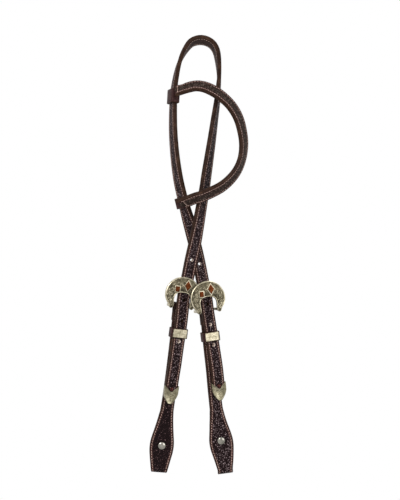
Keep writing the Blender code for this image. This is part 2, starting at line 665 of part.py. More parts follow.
def make_billet(side, frame, shape, length):
    """The crown strap's end, which hangs on from the bar and lies on the cheek."""
    pieces = []
    point_from = -length + TIP_LENGTH * TIP_TAPER_SHARE

    def half_width(_, height):
        if height >= point_from:
            return STRAP_WIDTH / 2
        share = (point_from - height) / (length + point_from)
        return STRAP_WIDTH / 2 * (1 - (1 - TIP_BLUNT_SHARE) * share ** TIP_CURVE)
    for name, middle, finish in (("_billet_face", -(BILLET_FRONT - PLY / 2), TOOLED_LEATHER),
                                 ("_billet_lining", -(BILLET_BACK + PLY / 2), LINING_LEATHER)):
        places = heights(0.0, point_from, STATION_STEP)
        places += heights(point_from, -length, STATION_STEP / 3)[1:]
        data = ribbon_mesh(side + name, [(middle, z) for z in places], half_width, shape,
                           first_slope=math.tan(math.radians(SWING_ROOM / 2)))
        pieces.append(add_object(side + name, data, frame, finish))
    for number in range(HOLES_BELOW):
        height = TONGUE_REACH - (2 + number) * HOLE_PITCH
        rod = round_rod("hole", HOLE_DIAMETER / 2, -OVERRUN - BILLET_FRONT, OVERRUN - BILLET_BACK,
                        HOLE_SIDES)
        place = shape((0.0, 0.0, height))
        punch = cutter(f"{side}_billet_hole_{number}", rod, frame @ Matrix.Translation(place))
        for piece in pieces:
            cut(piece, punch)


def tip_outline(length, grow, top, notch):
    """The strap's end, grown all round, with a V notch in its top edge if one is given."""
    point_from = -length + TIP_LENGTH * TIP_TAPER_SHARE
    half_width = STRAP_WIDTH / 2
    right = [(half_width + grow, top)]
    for step in range(TIP_STEPS + 1):
        share = step / TIP_STEPS
        height = point_from - (length + point_from) * share
        half = half_width * (1 - (1 - TIP_BLUNT_SHARE) * share ** TIP_CURVE)
        right.append((half + grow, height - grow * share))
    left = [(-x, z) for x, z in right[::-1]]
    return right + left + ([(0.0, top - notch)] if notch else [])


def make_tip(side, frame, shape, length):
    """A sheet cap over the billet's end, notched at its top, and the rivet above the notch."""
    top = -length + TIP_LENGTH
    front = BILLET_FRONT + FIT + TIP_SHEET
    around = tip_outline(length, FIT + TIP_SHEET, top, TIP_NOTCH)
    within = tip_outline(length, FIT, top + OVERRUN, 0.0)
    shell = prism_mesh(side + "_tip", around, -front, -(BILLET_BACK + FIT))
    pocket = prism_mesh("pocket", within, -(BILLET_FRONT + FIT), -BILLET_BACK + OVERRUN)
    for data in (shell, pocket):
        for vertex in data.vertices:
            vertex.co = shape(vertex.co)
    tip = add_object(side + "_tip", shell, frame, SILVER)
    cut(tip, cutter(side + "_tip_pocket", pocket, frame))
    notch_wall = math.hypot(1.0, TIP_NOTCH / (STRAP_WIDTH / 2 + FIT + TIP_SHEET))
    height = top - TIP_NOTCH + RIVET_RADIUS * notch_wall + FIT
    dome = [(RIVET_RADIUS * out, -RIVET_HEIGHT * rise) for out, rise in RIVET_SHARES]
    place = shape((0.0, -(BILLET_FRONT + FIT), height))
    rivet = lathe_mesh(side + "_tip_rivet", dome, ROUND_SIDES)
    add_object(side + "_tip_rivet", rivet, frame @ Matrix.Translation(place), STEEL)


def lathe_mesh(name, profile, sides):
    """A (radius, depth) profile turned about the depth axis, closed where its radius is nothing."""
    mesh = bmesh.new()
    rings = []
    for radius, depth in profile:
        if radius == 0.0:
            rings.append([mesh.verts.new((0.0, depth, 0.0))] * sides)
            continue
        rings.append([mesh.verts.new((across, depth, up)) for across, up in circle(radius, sides)])
    for first, second in zip(rings, rings[1:]):
        for index in range(sides):
            following = (index + 1) % sides
            corners = []
            for vertex in (first[index], first[following], second[following], second[index]):
                if vertex not in corners:
                    corners.append(vertex)
            if len(corners) > 2:
                mesh.faces.new(corners)
    bmesh.ops.recalc_face_normals(mesh, faces=mesh.faces)
    data = bpy.data.meshes.new(name)
    mesh.to_mesh(data)
    mesh.free()
    return data


def make_keeper(side, frame, cheek_lie, billet_lie):
    """A leather loop round the cheek and billet, with a silver plate on its front."""
    stack = BILLET_FRONT + LINING_MIDDLE + PLY / 2
    middle = (0.0, (LINING_MIDDLE + PLY / 2 - BILLET_FRONT) / 2, -KEEPER_DROP)
    behind, before = cheek_lie(middle), billet_lie(middle)
    seat = frame @ Matrix.Translation((behind + before) / 2)
    width = STRAP_WIDTH + abs(before.x - behind.x) + 2 * KEEPER_CLEARANCE
    loop = sleeve_mesh(side + "_keeper_loop", width, stack + 2 * KEEPER_CLEARANCE, KEEPER_WALL,
                       KEEPER_HEIGHT)
    add_object(side + "_keeper_loop", loop, seat, TOOLED_LEATHER)
    front = stack / 2 + KEEPER_CLEARANCE + KEEPER_WALL + PLY_GAP
    outline = rounded_rectangle(KEEPER_PLATE_WIDTH, KEEPER_PLATE_HEIGHT, EDGE_ROUND)
    plate = prism_mesh(side + "_keeper_plate", outline, -front - KEEPER_PLATE_THICKNESS, -front)
    add_object(side + "_keeper_plate", plate, seat, SILVER)


def make_screw(side, seat):
    """A Chicago screw: a domed post from the front and a slotted screw into it from the back."""
    face = -(CHEEK_FRONT + FIT)
    tab_back = BACK_PLY_MIDDLE + PLY / 2
    dome = [(0.0, face - DOME_HEIGHT)]
    for step in range(1, DOME_STEPS):
        angle = math.pi / 2 * (1 - step / DOME_STEPS)
        dome.append((DOME_RADIUS * math.cos(angle), face - DOME_HEIGHT * math.sin(angle)))
    post = dome + [(DOME_RADIUS, face), (BARREL_RADIUS, face), (BARREL_RADIUS, tab_back),
                   (BARREL_BORE, tab_back), (BARREL_BORE, face + FIT), (0.0, face + FIT)]
    add_object(side + "_screw_post", lathe_mesh(side + "_screw_post", post, ROUND_SIDES), seat, STEEL)
    head = tab_back + FIT
    back = head + SCREW_HEAD
    screw = [(0.0, face + 2 * FIT), (SCREW_RADIUS, face + 2 * FIT), (SCREW_RADIUS, head),
             (SCREW_HEAD_RADIUS, head), (SCREW_HEAD_RADIUS, back - FIT),
             (SCREW_HEAD_RADIUS - FIT, back), (0.0, back)]
    body = add_object(side + "_screw", lathe_mesh(side + "_screw", screw, ROUND_SIDES), seat, STEEL)
    slot_reach, half = SCREW_HEAD_RADIUS + OVERRUN, SLOT_WIDTH / 2
    outline = [(-slot_reach, -half), (slot_reach, -half), (slot_reach, half), (-slot_reach, half)]
    slot = prism_mesh("slot", outline, back - SLOT_DEPTH, back + OVERRUN)
    cut(body, cutter(side + "_slot", slot, seat))


def crescent_pairs():
    """Pairs of an outer and an inner point, from one horn's tip over the top to the other's."""
    outer_side = BUCKLE_WIDTH / 2
    low = HORN_DROP * HORN_RISE_SHARE
    down_reach = (CRESCENT_SHOULDER - low) / math.sin(math.radians(HORN_ANGLE))
    end = outer_side * math.cos(math.radians(HORN_ANGLE))
    inner_end = end - HORN_WIDTH * HORN_ROOT_SHARE
    pairs = []
    for step in range(HORN_STEPS):
        angle = math.pi / 2 * (1 - step / HORN_STEPS)
        middle = (end + inner_end) / 2
        reach = (end - inner_end) / 2 * math.cos(angle)
        drop = low - (low + HORN_DROP) * math.sin(angle)
        pairs.append(((middle + reach, drop), (middle - reach, drop)))
    for step in range(CRESCENT_STEPS + 1):
        share = step / CRESCENT_STEPS
        angle = math.radians(-HORN_ANGLE + (180 + 2 * HORN_ANGLE) * share)
        rise = BUCKLE_RISE - CRESCENT_SHOULDER if 0 < angle < math.pi else down_reach
        outer = (outer_side * math.cos(angle), CRESCENT_SHOULDER + rise * math.sin(angle))
        inner_angle = math.pi * share
        across, up = math.cos(inner_angle), max(math.sin(inner_angle), 0.0)
        flare = 1 + THROAT_FLARE * abs(2 * across * up)
        inner = (math.copysign(inner_end * flare * abs(across) ** THROAT_POWER, across),
                 low + (BUCKLE_THROAT - low) * up ** THROAT_POWER)
        pairs.append((outer, inner))
    tips = [((-a[0], a[1]), (-b[0], b[1])) for a, b in pairs[:HORN_STEPS]]
    return pairs + tips[::-1]


def crescent_mesh(name, standoff):
    """The crescent, flat behind and domed in front, standing off from the billet's face."""
    back = -(BILLET_FRONT + standoff)
    mesh = bmesh.new()
    rings = []
    for outer, inner in crescent_pairs():
        start, finish = Vector((outer[0], 0, outer[1])), Vector((inner[0], 0, inner[1]))
        span = (finish - start).length
        bulge = PLATE_DOME * min(1.0, span / HORN_WIDTH)
        rim = PLATE_RIM * min(1.0, RIM_TIP_SHARE + (1 - RIM_TIP_SHARE) * span / HORN_WIDTH)
        if span < FIT / 10:
            rings.append(([mesh.verts.new(start + Vector((0, back, 0)))],
                          [mesh.verts.new(start + Vector((0, back - rim, 0)))]))
            continue
        behind = [mesh.verts.new(point + Vector((0, back, 0))) for point in (start, finish)]
        front = [mesh.verts.new(start.lerp(finish, share) + Vector((0, back - rim - bulge * height, 0)))
                 for share, height in PLATE_SHARES]
        rings.append((behind, front))
    for (behind, front), (next_behind, next_front) in zip(rings, rings[1:]):
        bridge(mesh, behind, next_behind)
        bridge(mesh, front, next_front)
        for spot in (0, -1):
            mesh.faces.new((behind[spot], next_behind[spot], next_front[spot], front[spot]))
    bmesh.ops.recalc_face_normals(mesh, faces=mesh.faces)
    data = bpy.data.meshes.new(name)
    mesh.to_mesh(data)
    mesh.free()
    return data, back


def bridge(mesh, first, second):
    """Faces between two rows of points, where a row of one point makes a fan."""
    count = max(len(first), len(second))
    for index in range(count - 1):
        corners = []
        for row, spot in ((first, index), (first, index + 1), (second, index + 1), (second, index)):
            vertex = row[min(spot, len(row) - 1)]
            if vertex not in corners:
                corners.append(vertex)
        if len(corners) > 2:
            mesh.faces.new(corners)


def make_buckle(side, bar_frame, slid, standoff):
    """The crescent with its two posts, the bar between them and the two copper pieces."""
    frame = bar_frame @ Matrix.Translation((slid, 0.0, 0.0))
    data, back = crescent_mesh(side + "_buckle_crescent", standoff)
    plate = add_object(side + "_buckle_crescent", data, frame, SILVER)
    horn = crescent_pairs()[HORN_STEPS - 1]
    middle = (horn[0][0] + horn[1][0]) / 2
    half = POST_WIDTH / 2
    for name, spot in (("left_post", -middle), ("right_post", middle)):
        inner, outer = spot - half, spot + half
        outline = [(inner, -BAR_RADIUS), (outer, -BAR_RADIUS), (outer, BAR_RADIUS), (inner, BAR_RADIUS)]
        post = prism_mesh(name, outline, back - PLATE_RIM / 2, BAR_RADIUS)
        cut(plate, cutter(f"{side}_{name}", post, frame), "UNION")
    length = 2 * (middle - half - FIT)
    bar = extruded_profile(side + "_buckle_bar", circle(BAR_RADIUS, ROUND_SIDES), length)
    add_object(side + "_buckle_bar", bar, frame, STEEL)
    front = back - PLATE_RIM - PLATE_DOME - FIT
    half_wide, half_tall = LOZENGE_WIDTH / 2, LOZENGE_HEIGHT / 2
    lozenge = [(-half_wide, 0.0), (0.0, -half_tall), (half_wide, 0.0), (0.0, half_tall)]
    half_wide, half_tall = SQUARE_WIDTH / 2, SQUARE_HEIGHT / 2
    square = [(-half_wide, -half_tall), (half_wide, -half_tall), (half_wide, half_tall),
              (-half_wide, half_tall)]
    for name, outline, across, rise in (("_buckle_lozenge", lozenge, LOZENGE_SIDE, LOZENGE_RISE),
                                        ("_buckle_square", square, SQUARE_SIDE, SQUARE_RISE)):
        placed = [(across + x, rise + z) for x, z in outline]
        overlay = prism_mesh(side + name, placed, front - OVERLAY_THICKNESS, front)
        add_object(side + name, overlay, frame, COPPER)


def make_tongue(side, frame, hole):
    """A ring on the bar, a flat shank behind the strap and a peg that curves through its hole."""
    radius = BAR_RADIUS + FIT + TONGUE_WALL
    shank_front = BILLET_BACK - 2 * FIT
    shank_back = shank_front - TONGUE_SHANK
    top = hole.z + PEG_RADIUS
    data = extruded_profile(side + "_tongue", circle(radius, ROUND_SIDES), TONGUE_WIDTH)
    tongue = add_object(side + "_tongue", data, frame, STEEL)
    outline = [(-shank_front, 0.0), (-shank_back, 0.0), (-shank_back, top), (-shank_front, top)]
    shank = extruded_profile("shank", outline, TONGUE_WIDTH, hole.x / hole.z)
    cut(tongue, cutter(side + "_shank", shank, frame), "UNION")
    bore = extruded_profile("bore", circle(BAR_RADIUS + FIT, ROUND_SIDES), 2 * TONGUE_WIDTH)
    cut(tongue, cutter(side + "_tongue_bore", bore, frame))
    cut(tongue, cutter(side + "_peg", peg_mesh("peg", hole, shank_back), frame), "UNION")


def peg_mesh(name, hole, start):
    """A round peg bent on an arc about the bar, so that it leaves its hole as the tongue turns."""
    reach = hole.z
    mesh = bmesh.new()
    rings = []
    first, last = math.asin(start / reach), math.asin((BILLET_FRONT - FIT) / reach)
    for step in range(PEG_STEPS + 1):
        angle = first + (last - first) * step / PEG_STEPS
        middle = Vector((hole.x, -reach * math.sin(angle), reach * math.cos(angle) + PEG_RADIUS / 2))
        radial = Vector((0, -math.sin(angle), math.cos(angle)))
        rings.append([mesh.verts.new(middle + Vector((across, 0, 0)) + radial * out)
                      for across, out in circle(PEG_RADIUS, PEG_SIDES)])
    for one, two in zip(rings, rings[1:]):
        for index in range(PEG_SIDES):
            following = (index + 1) % PEG_SIDES
            mesh.faces.new((one[index], one[following], two[following], two[index]))
    mesh.faces.new(rings[0])
    mesh.faces.new(rings[-1][::-1])
    bmesh.ops.recalc_face_normals(mesh, faces=mesh.faces)
    data = bpy.data.meshes.new(name)
    mesh.to_mesh(data)
    mesh.free()
    return data


def make_side(side, frame, cheek_lie, billet_lie, lift, rise, length, slid, standoff, crown_frames):
    """Everything that hangs on one end of the crown strap."""
    seat = make_cheek(side, frame, cheek_lie, lift, rise)
    make_billet(side, frame, billet_lie, length)
    make_tip(side, frame, billet_lie, length)
    make_keeper(side, frame, cheek_lie, billet_lie)
    make_screw(side, seat)
    make_buckle(side, frame, slid, standoff)
    end = "last" if side == "left" else "first"
    place = point_up_the_strand(crown_frames, end, TONGUE_REACH)[0]
    make_tongue(side, frame, frame.inverted() @ place)


clear_scene()
crown_frames, left_bar, right_bar = make_crown()
make_ear(crown_frames)
LEFT_CHEEK_LIE = cheek_shape(LEFT_CHEEK_SIDES, LEFT_STRETCH, LEFT_BIT_SLANT)
LEFT_BILLET_LIE = cheek_shape(LEFT_BILLET_SIDES, LEFT_STRETCH, 0.0)
RIGHT_CHEEK_LIE = cheek_shape(RIGHT_CHEEK_SIDES, 1.0, RIGHT_BIT_SLANT)
RIGHT_BILLET_LIE = cheek_shape(RIGHT_BILLET_SIDES, 1.0, 0.0)
make_side("left", left_bar, LEFT_CHEEK_LIE, LEFT_BILLET_LIE, 0.0, LEFT_SCREW_RISE,
          LEFT_BILLET_LENGTH, BUCKLE_SIDE_LEFT, PLATE_STANDOFF_LEFT, crown_frames)
make_side("right", right_bar, RIGHT_CHEEK_LIE, RIGHT_BILLET_LIE, RIGHT_SWELL_LIFT, RIGHT_SCREW_RISE,
          RIGHT_BILLET_LENGTH, BUCKLE_SIDE_RIGHT, PLATE_STANDOFF_RIGHT, crown_frames)
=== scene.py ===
# Western one-ear headstall, hung by its crown: tooled and stitched leather, engraved crescent
# buckles, a sliding ear piece, folded bit ends and domed screws.
import math
import bmesh
import bpy
from mathutils import Matrix, Vector


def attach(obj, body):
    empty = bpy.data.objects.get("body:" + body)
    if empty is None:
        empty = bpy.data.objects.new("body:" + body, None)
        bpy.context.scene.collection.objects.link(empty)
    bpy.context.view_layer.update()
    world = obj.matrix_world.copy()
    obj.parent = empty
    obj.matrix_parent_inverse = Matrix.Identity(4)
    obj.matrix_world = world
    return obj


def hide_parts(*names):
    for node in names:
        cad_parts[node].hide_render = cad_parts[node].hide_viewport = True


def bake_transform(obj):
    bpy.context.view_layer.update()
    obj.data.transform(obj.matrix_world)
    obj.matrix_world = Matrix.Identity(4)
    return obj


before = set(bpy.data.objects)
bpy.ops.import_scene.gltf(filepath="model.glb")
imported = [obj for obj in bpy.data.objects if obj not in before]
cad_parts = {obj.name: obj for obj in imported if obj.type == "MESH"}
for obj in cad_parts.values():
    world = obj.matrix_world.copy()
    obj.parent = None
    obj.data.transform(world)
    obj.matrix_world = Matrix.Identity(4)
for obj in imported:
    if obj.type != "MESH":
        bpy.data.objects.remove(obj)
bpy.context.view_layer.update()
MM = 0.001

# Crown strap.
# One 16 mm strap of two plies, glued, edge-burnished and stitched round its border, that runs from
# one silver tip up over the poll and down to the other. Its face is stamped between the stitch rows.
STRAP_WIDTH = 16.0 * MM
PLY = 2.4 * MM
PLY_GAP = 0.4 * MM
CROWN_DROP = 330.0 * MM
LOOP_SPREAD = 22.5 * MM
STRAND_DEPTH = 6.2 * MM
CROWN_ROLL = 112.0
ROW_STEP = 3.4 * MM
# Places of the strap's middle: sideways, down and back as shares, and its turn in degrees.
LEFT_STRAND_SHARES = (
    (0.357, 1.012, 0.65, -18.0), (0.260, 0.962, 0.65, -18.0), (0.075, 0.898, 0.68, -17.0),
    (-0.120, 0.831, 0.95, -15.0), (-0.336, 0.767, 0.98, -6.0), (-0.565, 0.704, 0.85, 18.0),
    (-0.801, 0.647, 0.65, 40.0), (-0.977, 0.602, 0.50, 49.0), (-1.240, 0.524, 0.30, 54.0),
    (-1.427, 0.434, 0.15, 60.0), (-1.526, 0.344, 0.05, 64.0), (-1.531, 0.254, 0.0, 68.0),
    (-1.487, 0.187, 0.0, 73.0), (-1.325, 0.120, 0.0, 79.0), (-1.139, 0.075, 0.0, 86.0),
    (-0.895, 0.041, 0.0, 95.0), (-0.587, 0.013, 0.0, 104.0), (-0.302, 0.003, 0.0, 109.0),
)
RIGHT_STRAND_SHARES = (
    (0.346, 0.005, 0.0, 111.0), (0.648, 0.019, 0.0, 109.0), (0.834, 0.041, 0.0, 106.0),
    (0.911, 0.064, 0.0, 103.0), (0.955, 0.088, 0.0, 98.0), (0.988, 0.120, 0.0, 92.0),
    (0.988, 0.150, 0.0, 88.0), (0.950, 0.180, 0.0, 84.0), (0.881, 0.232, 0.0, 78.0),
    (0.741, 0.299, -0.05, 72.0), (0.604, 0.367, -0.12, 66.0), (0.458, 0.434, -0.20, 60.0),
    (0.307, 0.502, -0.32, 54.0), (0.192, 0.558, -0.44, 51.0), (0.049, 0.614, -0.58, 47.0),
    (-0.033, 0.647, -0.68, 44.0), (-0.181, 0.704, -0.82, 36.0), (-0.335, 0.760, -0.95, 26.0),
    (-0.530, 0.820, -0.93, 21.0), (-0.705, 0.880, -0.68, 19.0), (-0.900, 0.939, -0.65, 18.0),
    (-1.018, 0.996, -0.65, 18.0),
)


def spline(stations, step):
    """Evenly spaced points on a smooth curve through the stations, with their turns."""
    rows = [Vector(row) for row in stations]
    rows = [2 * rows[0] - rows[1]] + rows + [2 * rows[-1] - rows[-2]]
    fine = []
    for index in range(1, len(rows) - 2):
        a, b, c, d = rows[index - 1:index + 3]
        for part in range(20):
            t = part / 20
            fine.append(0.5 * (2 * b + (c - a) * t + (2 * a - 5 * b + 4 * c - d) * t * t
                               + (3 * b - a - 3 * c + d) * t ** 3))
    fine.append(rows[-2])
    lengths = [0.0]
    for first, second in zip(fine, fine[1:]):
        lengths.append(lengths[-1] + (Vector(second[:3]) - Vector(first[:3])).length)
    count = max(2, round(lengths[-1] / step))
    result, index = [], 0
    for number in range(count + 1):
        wanted = lengths[-1] * number / count
        while index < len(lengths) - 2 and lengths[index + 1] < wanted:
            index += 1
        share = (wanted - lengths[index]) / (lengths[index + 1] - lengths[index])
        result.append(fine[index].lerp(fine[index + 1], share))
    return result


def beside(points, index):
    """The points before and after one, or the point itself at an end."""
    return points[max(index - 1, 0)], points[min(index + 1, len(points) - 1)]


def row_of(place, along, normal, half):
    """A strap's row: place, direction, face normal, sideways direction and half width."""
    normal = (normal - along * normal.dot(along)).normalized()
    return place, along, normal, along.cross(normal), half


def strap_rows(points, half=STRAP_WIDTH / 2):
    """Rows of a strap along points that say its place and its turn."""
    rows = []
    for index, point in enumerate(points):
        before, after = beside(points, index)
        along = (Vector(after[:3]) - Vector(before[:3])).normalized()
        outward = along.cross(Vector((0, 1, 0))).normalized()
        turn = math.radians(point[3])
        normal = Vector((0, -1, 0)) * math.cos(turn) + outward * math.sin(turn)
        rows.append(row_of(Vector(point[:3]), along, normal, half))
    return rows


def travelled(rows):
    """Distance along the strap at each of its rows."""
    places = [0.0]
    for first, second in zip(rows, rows[1:]):
        places.append(places[-1] + (second[0] - first[0]).length)
    return places


def turned_over(rows):
    """The same rows seen from the strap's back."""
    return [(place, along, -normal, across, half) for place, along, normal, across, half in rows]


def row_at(rows, places, distance):
    """The strap's row at a distance along it."""
    for index in range(len(rows) - 1):
        if places[index + 1] >= distance:
            share = (distance - places[index]) / (places[index + 1] - places[index])
            blend = [a.lerp(b, share) for a, b in zip(rows[index][:4], rows[index + 1][:4])]
            return (*blend, rows[index][4] * (1 - share) + rows[index + 1][4] * share)
    return rows[-1]


STITCH_INSET = 2.5 * MM
STITCH_SLANT = 0.16
STITCH_REACH_SHARE = 0.40
STITCH_HALF = 0.36 * MM
STITCH_RISE = 0.30 * MM
STITCH_LIFT = 0.06 * MM
# Places along a stitch, and its girth there.
STITCH_SHAPE = ((-1.0, 0.35), (-0.72, 0.85), (0.0, 1.0), (0.72, 0.85), (1.0, 0.35))
GROOVE = 0.28 * MM
FACE, EDGE, BACK, RAW, BORDER, DARK = range(6)


def strap_section(half, low, high, seam=True, grooved=(True, True)):
    """The strap's outline at one row: across, out and the finish of the side that starts there."""
    turn = min(1.15 * MM, 0.42 * (high - low))
    groove = min(STITCH_INSET, 0.6 * half)
    lip = min(0.5 * MM, 0.3 * groove)
    inner = max(half - groove - 3 * lip, 0.0)

    def face(level, dip, kind, border):
        places = [(half - turn, level), (half - groove + lip, level), (half - groove, level + dip),
                  (half - groove - lip, level), (inner, level), (0.5 * inner, level)]
        left = [(-x, out, border if n < 4 else kind) for n, (x, out) in enumerate(places)]
        right = [(x, out, border if n < 5 else kind) for n, (x, out) in enumerate(places)][::-1]
        right[-1] = (*places[0], EDGE)
        return left + [(0.0, level, kind)] + right

    front = face(high, -GROOVE * grooved[0], FACE, BORDER)
    back = [(-x, out, kind) for x, out, kind in face(low, GROOVE * grooved[1], BACK, BACK)]
    bend = ((0.55, 0.1), (0.2, 0.4), (0.0, 1.0))
    middle, nick = (low + high) / 2, 0.18 * MM
    edge = [(half - across * turn, high - down * turn) for across, down in bend]
    if seam:
        edge += [(half, middle + nick), (half - nick, middle), (half, middle - nick)]
    edge += [(half - across * turn, low + up * turn) for across, up in bend[::-1]]
    return (front + [(x, out, EDGE) for x, out in edge] + back
            + [(-x, out, EDGE) for x, out in edge[::-1]])


def add_ring_faces(mesh, first, second, kinds):
    """A band of faces from one ring of points to the next, each with its finish."""
    for index, kind in enumerate(kinds):
        following = (index + 1) % len(first)
        made = mesh.faces.new((first[index], first[following], second[following], second[index]))
        made.material_index = kind


def add_ring(mesh, lie, outline, depth):
    """A ring of points from an (x, z) outline at one depth, laid where its place puts it."""
    return [mesh.verts.new(lie(Vector((x, depth, z)))) for x, z in outline]


def add_tube(mesh, rings, kinds, end=0):
    """Faces between each ring and the next, and one over each end."""
    for first, second in zip(rings, rings[1:]):
        add_ring_faces(mesh, first, second, kinds)
    for ring in (rings[0], rings[-1]):
        mesh.faces.new(ring).material_index = end


def add_leather_band(mesh, places, first, second, across, marks, kinds):
    """A band of faces whose leather is laid out flat: across the section and along its marks."""
    start = len(mesh.faces)
    add_ring_faces(mesh, first, second, kinds)
    mesh.faces.ensure_lookup_table()
    for index, made in enumerate(mesh.faces[start:]):
        following = (index + 1) % len(first)
        for loop, (ring, spot) in zip(made.loops, ((0, index), (0, following), (1, following), (1, index))):
            loop[places].uv = (across[ring][spot], marks[ring])


def strap(name, rows, low, high, finishes, start=0.0, seam=True, grooved=(True, True)):
    """A length of leather strap: its section carried along its rows, closed at both ends."""
    mesh = bmesh.new()
    places = mesh.loops.layers.uv.new("strap")
    rings, sections, marks = [], [], [start + at for at in travelled(rows)]
    for place, _, normal, side, half in rows:
        section = strap_section(half, low, high, seam, grooved)
        rings.append([mesh.verts.new(place + side * x + normal * out) for x, out, _ in section])
        sections.append([x for x, _, _ in section])
    kinds = [kind for _, _, kind in section]
    for number in range(len(rings) - 1):
        pair = slice(number, number + 2)
        add_leather_band(mesh, places, *rings[pair], sections[pair], marks[pair], kinds)
    for ring in (rings[0][::-1], rings[-1]):
        mesh.faces.new(ring).material_index = EDGE
    return finish_piece(name, mesh, finishes, 40)


def finish_piece(name, mesh, finishes, sharp):
    """Close off a mesh as a named piece with its finishes, smooth but for its sharp edges."""
    bmesh.ops.recalc_face_normals(mesh, faces=mesh.faces)
    data = bpy.data.meshes.new(name)
    mesh.to_mesh(data)
    mesh.free()
    for finish in finishes:
        data.materials.append(finish)
    data.shade_smooth()
    data.set_sharp_from_angle(angle=math.radians(sharp))
    piece = bpy.data.objects.new(name, data)
    bpy.context.scene.collection.objects.link(piece)
    return piece


def add_node(finish, kind, settings=None, **inputs):
    """A shader node with its settings, its inputs given as values or as links."""
    made = finish.node_tree.nodes.new("ShaderNode" + kind)
    for key, value in (settings or {}).items():
        setattr(made, key, value)
    for key, value in inputs.items():
        socket = made.inputs[int(key[1:])] if key[0] == "i" and key[1:].isdigit() else made.inputs[key]
        if isinstance(value, bpy.types.NodeSocket):
            finish.node_tree.links.new(value, socket)
        else:
            socket.default_value = value
    return made


def new_finish(name, roughness, metallic=0.0, **sockets):
    """A material and its shader."""
    finish = bpy.data.materials.new(name)
    finish.use_nodes = True
    shader = finish.node_tree.nodes["Principled BSDF"]
    shader.inputs["Roughness"].default_value = roughness
    shader.inputs["Metallic"].default_value = metallic
    for key, value in sockets.items():
        shader.inputs[key.replace("_", " ")].default_value = value
    return finish, shader


def ramp(finish, factor, stops):
    """A colour ramp whose stops are (place, colour)."""
    made = add_node(finish, "ValToRGB", None, Fac=factor)
    elements = made.color_ramp.elements
    while len(elements) < len(stops):
        elements.new(0.5)
    for element, (place, colour) in zip(elements, stops):
        element.position = place
        element.color = (*colour, 1.0)
    return made.outputs["Color"]


def link(finish, output, socket):
    finish.node_tree.links.new(output, socket)


def noise(finish, scale, detail, **more):
    """How cloudy a finish is at each place of its piece."""
    where = add_node(finish, "TexCoord").outputs["Object"]
    return add_node(finish, "TexNoise", None, Vector=where, Scale=scale, Detail=detail, **more).outputs["Fac"]


def coat(finish, shader, colour, height, strength, distance):
    """A finish's colour, and its surface raised by a height."""
    link(finish, colour, shader.inputs["Base Color"])
    if strength:
        bump = add_node(finish, "Bump", None, Height=height, Strength=strength, Distance=distance)
        link(finish, bump.outputs["Normal"], shader.inputs["Normal"])
    return finish


def clouded(name, roughness, metallic, scale, detail, stops, relief=0.0):
    """A finish whose colour drifts, and whose surface is a little uneven where it has some relief."""
    finish, shader = new_finish(name, roughness, metallic)
    cloud = noise(finish, scale, detail)
    return coat(finish, shader, ramp(finish, cloud, stops), cloud, relief, 0.1 * MM)


def tooled_leather(name, wear_and_glint_from=0.49, wear_and_glint_colour=(0.32, 0.245, 0.25), ground=(0.007, 0.002, 0.0025)):
    """Dark dyed leather with a basket stamp, worn pale where it stands up, with painted glints there too."""
    finish, shader = new_finish(name, 0.55, Specular_IOR_Level=0.09)
    where = add_node(finish, "TexCoord").outputs["UV"]
    lie = add_node(finish, "Mapping", None, Vector=where, Rotation=(0, 0, math.radians(45)))
    weave = add_node(finish, "TexBrick", {"offset": 0.5}, Vector=lie.outputs["Vector"], Scale=1000.0, **{
        "Mortar Size": 0.5, "Mortar Smooth": 0.9, "Brick Width": 3.0, "Row Height": 1.6})
    raised = add_node(finish, "Math", {"operation": "SUBTRACT"}, i0=1.0, i1=weave.outputs["Fac"]).outputs[0]
    # Pale speckles on the raised stamp: partly wear, partly painted glints standing in for the lamps'
    # highlights.
    wear_and_glint_spots = add_node(finish, "MapRange", None, Value=noise(finish, 620.0, 2.0),
                      **{"From Min": wear_and_glint_from, "From Max": wear_and_glint_from + 0.19}).outputs[0]
    wear_and_glint_mask = add_node(finish, "Math", {"operation": "MULTIPLY"}, i0=raised, i1=wear_and_glint_spots).outputs[0]
    colour = ramp(finish, wear_and_glint_mask, ((0.0, ground), (0.3, (0.034, 0.015, 0.016)), (0.75, wear_and_glint_colour)))
    height = add_node(finish, "Math", {"operation": "MULTIPLY_ADD"}, i0=noise(finish, 1500.0, 4.0), i1=0.25,
                      i2=raised).outputs[0]
    return coat(finish, shader, colour, height, 1.0, 0.7 * MM)


def plain_leather(name, stops, grain, roughness, strength, shine=0.07, cloud=(160.0, 5.0), relief=0.15 * MM):
    """Leather without a stamp: a border, a burnished edge, the lining's smooth back or a punched wall."""
    finish, shader = new_finish(name, roughness, Specular_IOR_Level=shine)
    colour = ramp(finish, noise(finish, *cloud), stops)
    return coat(finish, shader, colour, noise(finish, grain, 4.0), strength, relief)


stamped_face = tooled_leather("stamped_leather")
smooth_border = plain_leather("border_leather", (
    (0.35, (0.016, 0.0060, 0.0055)), (0.55, (0.034, 0.0135, 0.0125)), (0.72, (0.080, 0.036, 0.034))),
    1500.0, 0.55, 0.3, 0.09, (620.0, 2.0), 0.2 * MM)
burnished_edge = plain_leather("burnished_edge", (
    (0.30, (0.014, 0.006, 0.0038)), (0.55, (0.028, 0.013, 0.0075)), (0.75, (0.062, 0.032, 0.019))),
    900.0, 0.5, 0.3)
smooth_lining = plain_leather("lining_leather", (
    (0.30, (0.016, 0.009, 0.008)), (0.60, (0.035, 0.018, 0.014)), (0.80, (0.055, 0.031, 0.024))),
    1300.0, 0.55, 0.35)
punched_wall = plain_leather("punched_leather", (
    (0.30, (0.55, 0.46, 0.40)), (0.60, (0.72, 0.64, 0.58)), (0.80, (0.85, 0.78, 0.73))), 1700.0, 0.8, 0.5)
leathers = (stamped_face, burnished_edge, smooth_lining, punched_wall, smooth_border, burnished_edge)
# Copies for the left cheek, with fewer and dimmer painted glints, and for the ear piece, on a browner ground.
quiet_face = tooled_leather("quiet_stamp", 0.55, (0.20, 0.125, 0.125))
ear_face = tooled_leather("ear_stamp", 0.50, (0.19, 0.145, 0.115), (0.022, 0.0125, 0.008))

